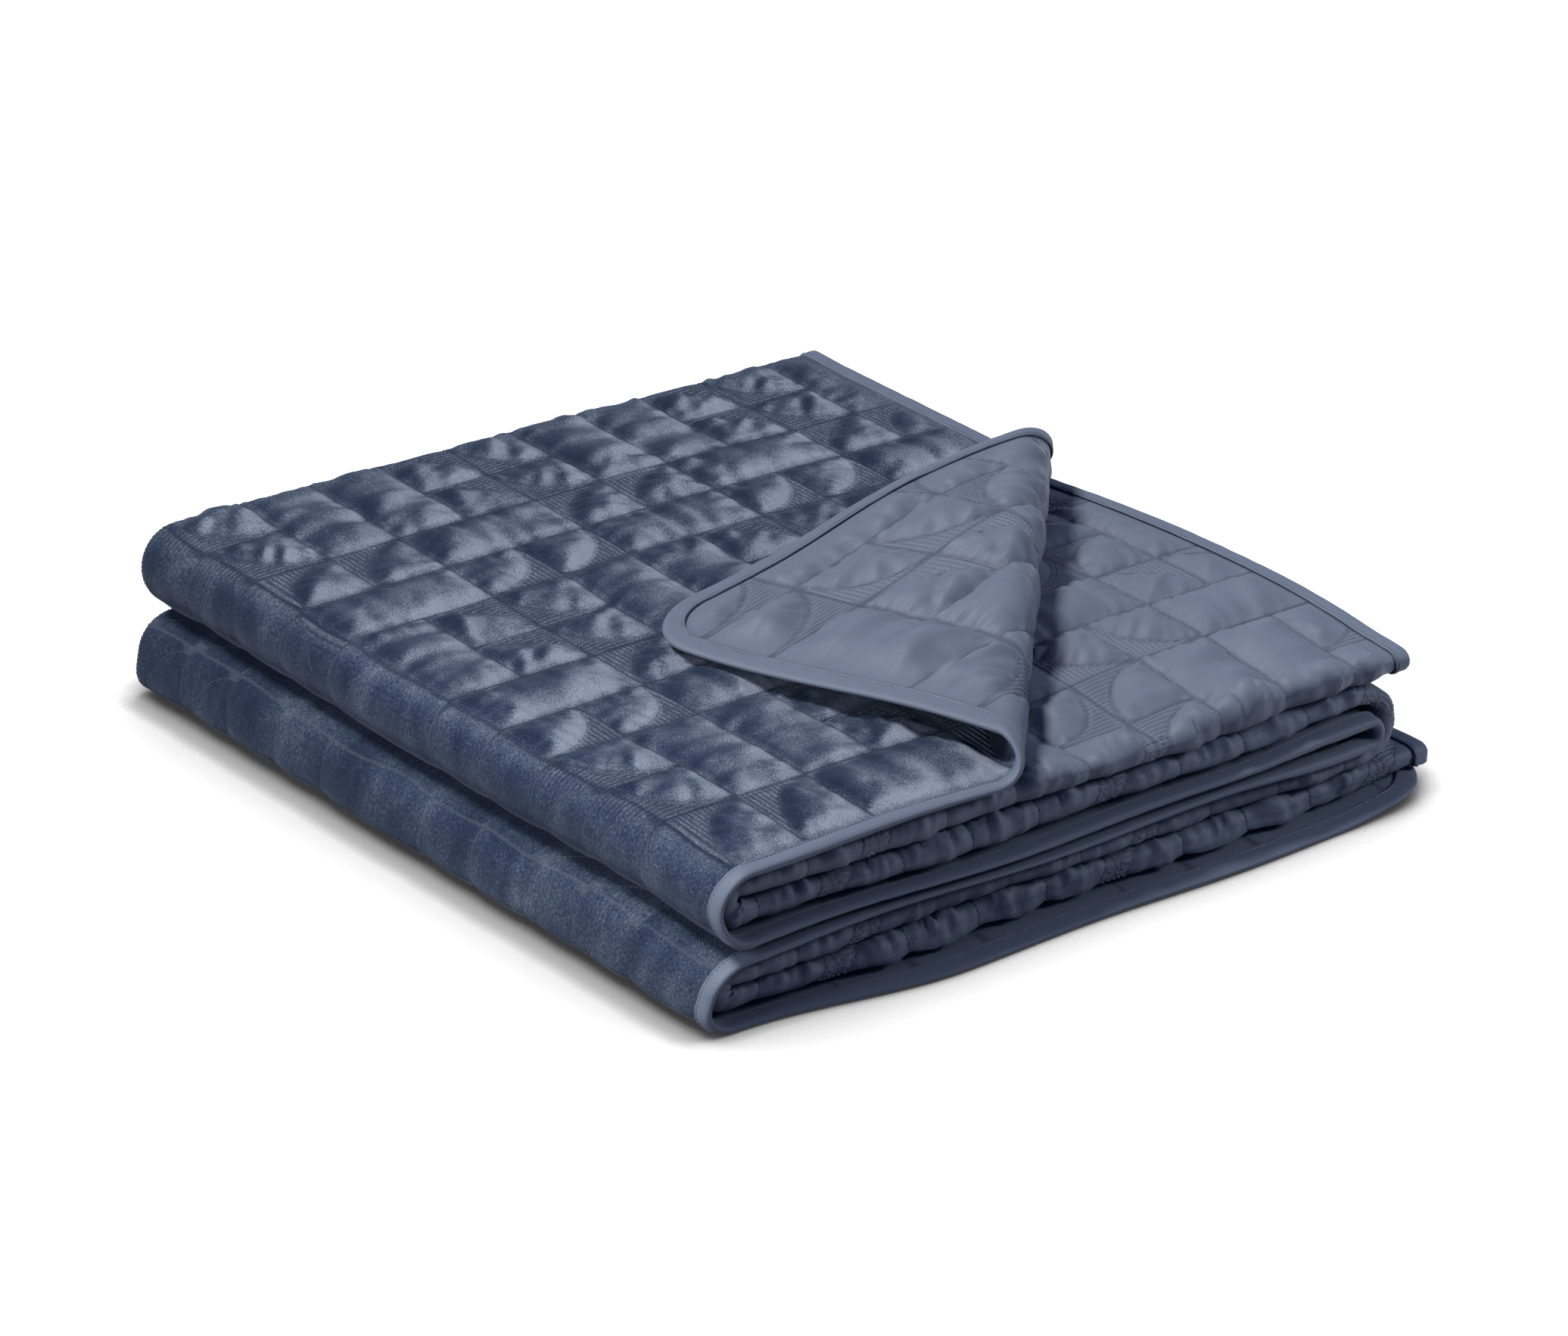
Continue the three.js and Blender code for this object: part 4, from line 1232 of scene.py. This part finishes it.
ROOM_COLOUR = (0.36, 0.56, 1.50, 1)
ROOM_STRENGTH = 0.10
LAMP_COLOUR = (0.86, 0.94, 1.0)
LAMP_SIZE = 0.4
world = bpy.data.worlds.new("studio")
bpy.context.scene.world = world
world.use_nodes = True
background = world.node_tree.nodes["Background"]
feed_all(world.node_tree, background.inputs, Color=ROOM_COLOUR, Strength=ROOM_STRENGTH)


def new_lamp(name, kind, strength, toward):
    lamp = bpy.data.lights.new(name, kind)
    lamp.energy = strength
    light = in_scene(name, lamp)
    light.rotation_euler = Vector(toward).to_track_quat("-Z", "Y").to_euler()
    return lamp, light


def wide_light(name, toward, strength, spread):
    """Even light from one direction, as soft as a large lamp; spread is in degrees."""
    lamp, _ = new_lamp(name, "SUN", strength, toward)
    lamp.angle = math.radians(spread)


def soft_lamp(name, strength, place, toward):
    """A panel of cool light beside the stack."""
    lamp, light = new_lamp(name, "AREA", strength, toward)
    lamp.size = LAMP_SIZE
    lamp.color = LAMP_COLOUR
    light.location = place


wide_light("overhead", (0.39, -0.31, -0.9), 4.1, 15)
soft_lamp("left", 5.2, (-1.1, -0.26, 0.5), (0.9, 0.05, -0.35))
soft_lamp("near_right", 9.4, (1.15, -1.0, 0.75), (-0.95, 0.65, -0.62))

# The camera stands round the target by an azimuth and an elevation in radians, at a distance in metres.
AZIMUTH, ELEVATION = -0.6530356, 0.4234422
DISTANCE = 4.30418
FOCAL_PIXELS, FRAME_WIDTH = 7503.68, 2072
SENSOR_WIDTH = 36
TARGET = np.array([327.93, 337.16, 70.0])
target = (TARGET - STACK_CENTRE) / 1000
back = Vector(
    (
        math.sin(AZIMUTH) * math.cos(ELEVATION),
        -math.cos(AZIMUTH) * math.cos(ELEVATION),
        math.sin(ELEVATION),
    )
)
lens = bpy.data.cameras.new("camera")
lens.sensor_width = SENSOR_WIDTH
lens.lens = SENSOR_WIDTH * FOCAL_PIXELS / FRAME_WIDTH
lens.clip_end = 100
camera = in_scene("camera", lens)
camera.location = Vector(target) + back * DISTANCE
camera.rotation_euler = (-back).to_track_quat("-Z", "Y").to_euler()
bpy.context.scene.camera = camera
bpy.context.scene.view_settings.view_transform = "Standard"
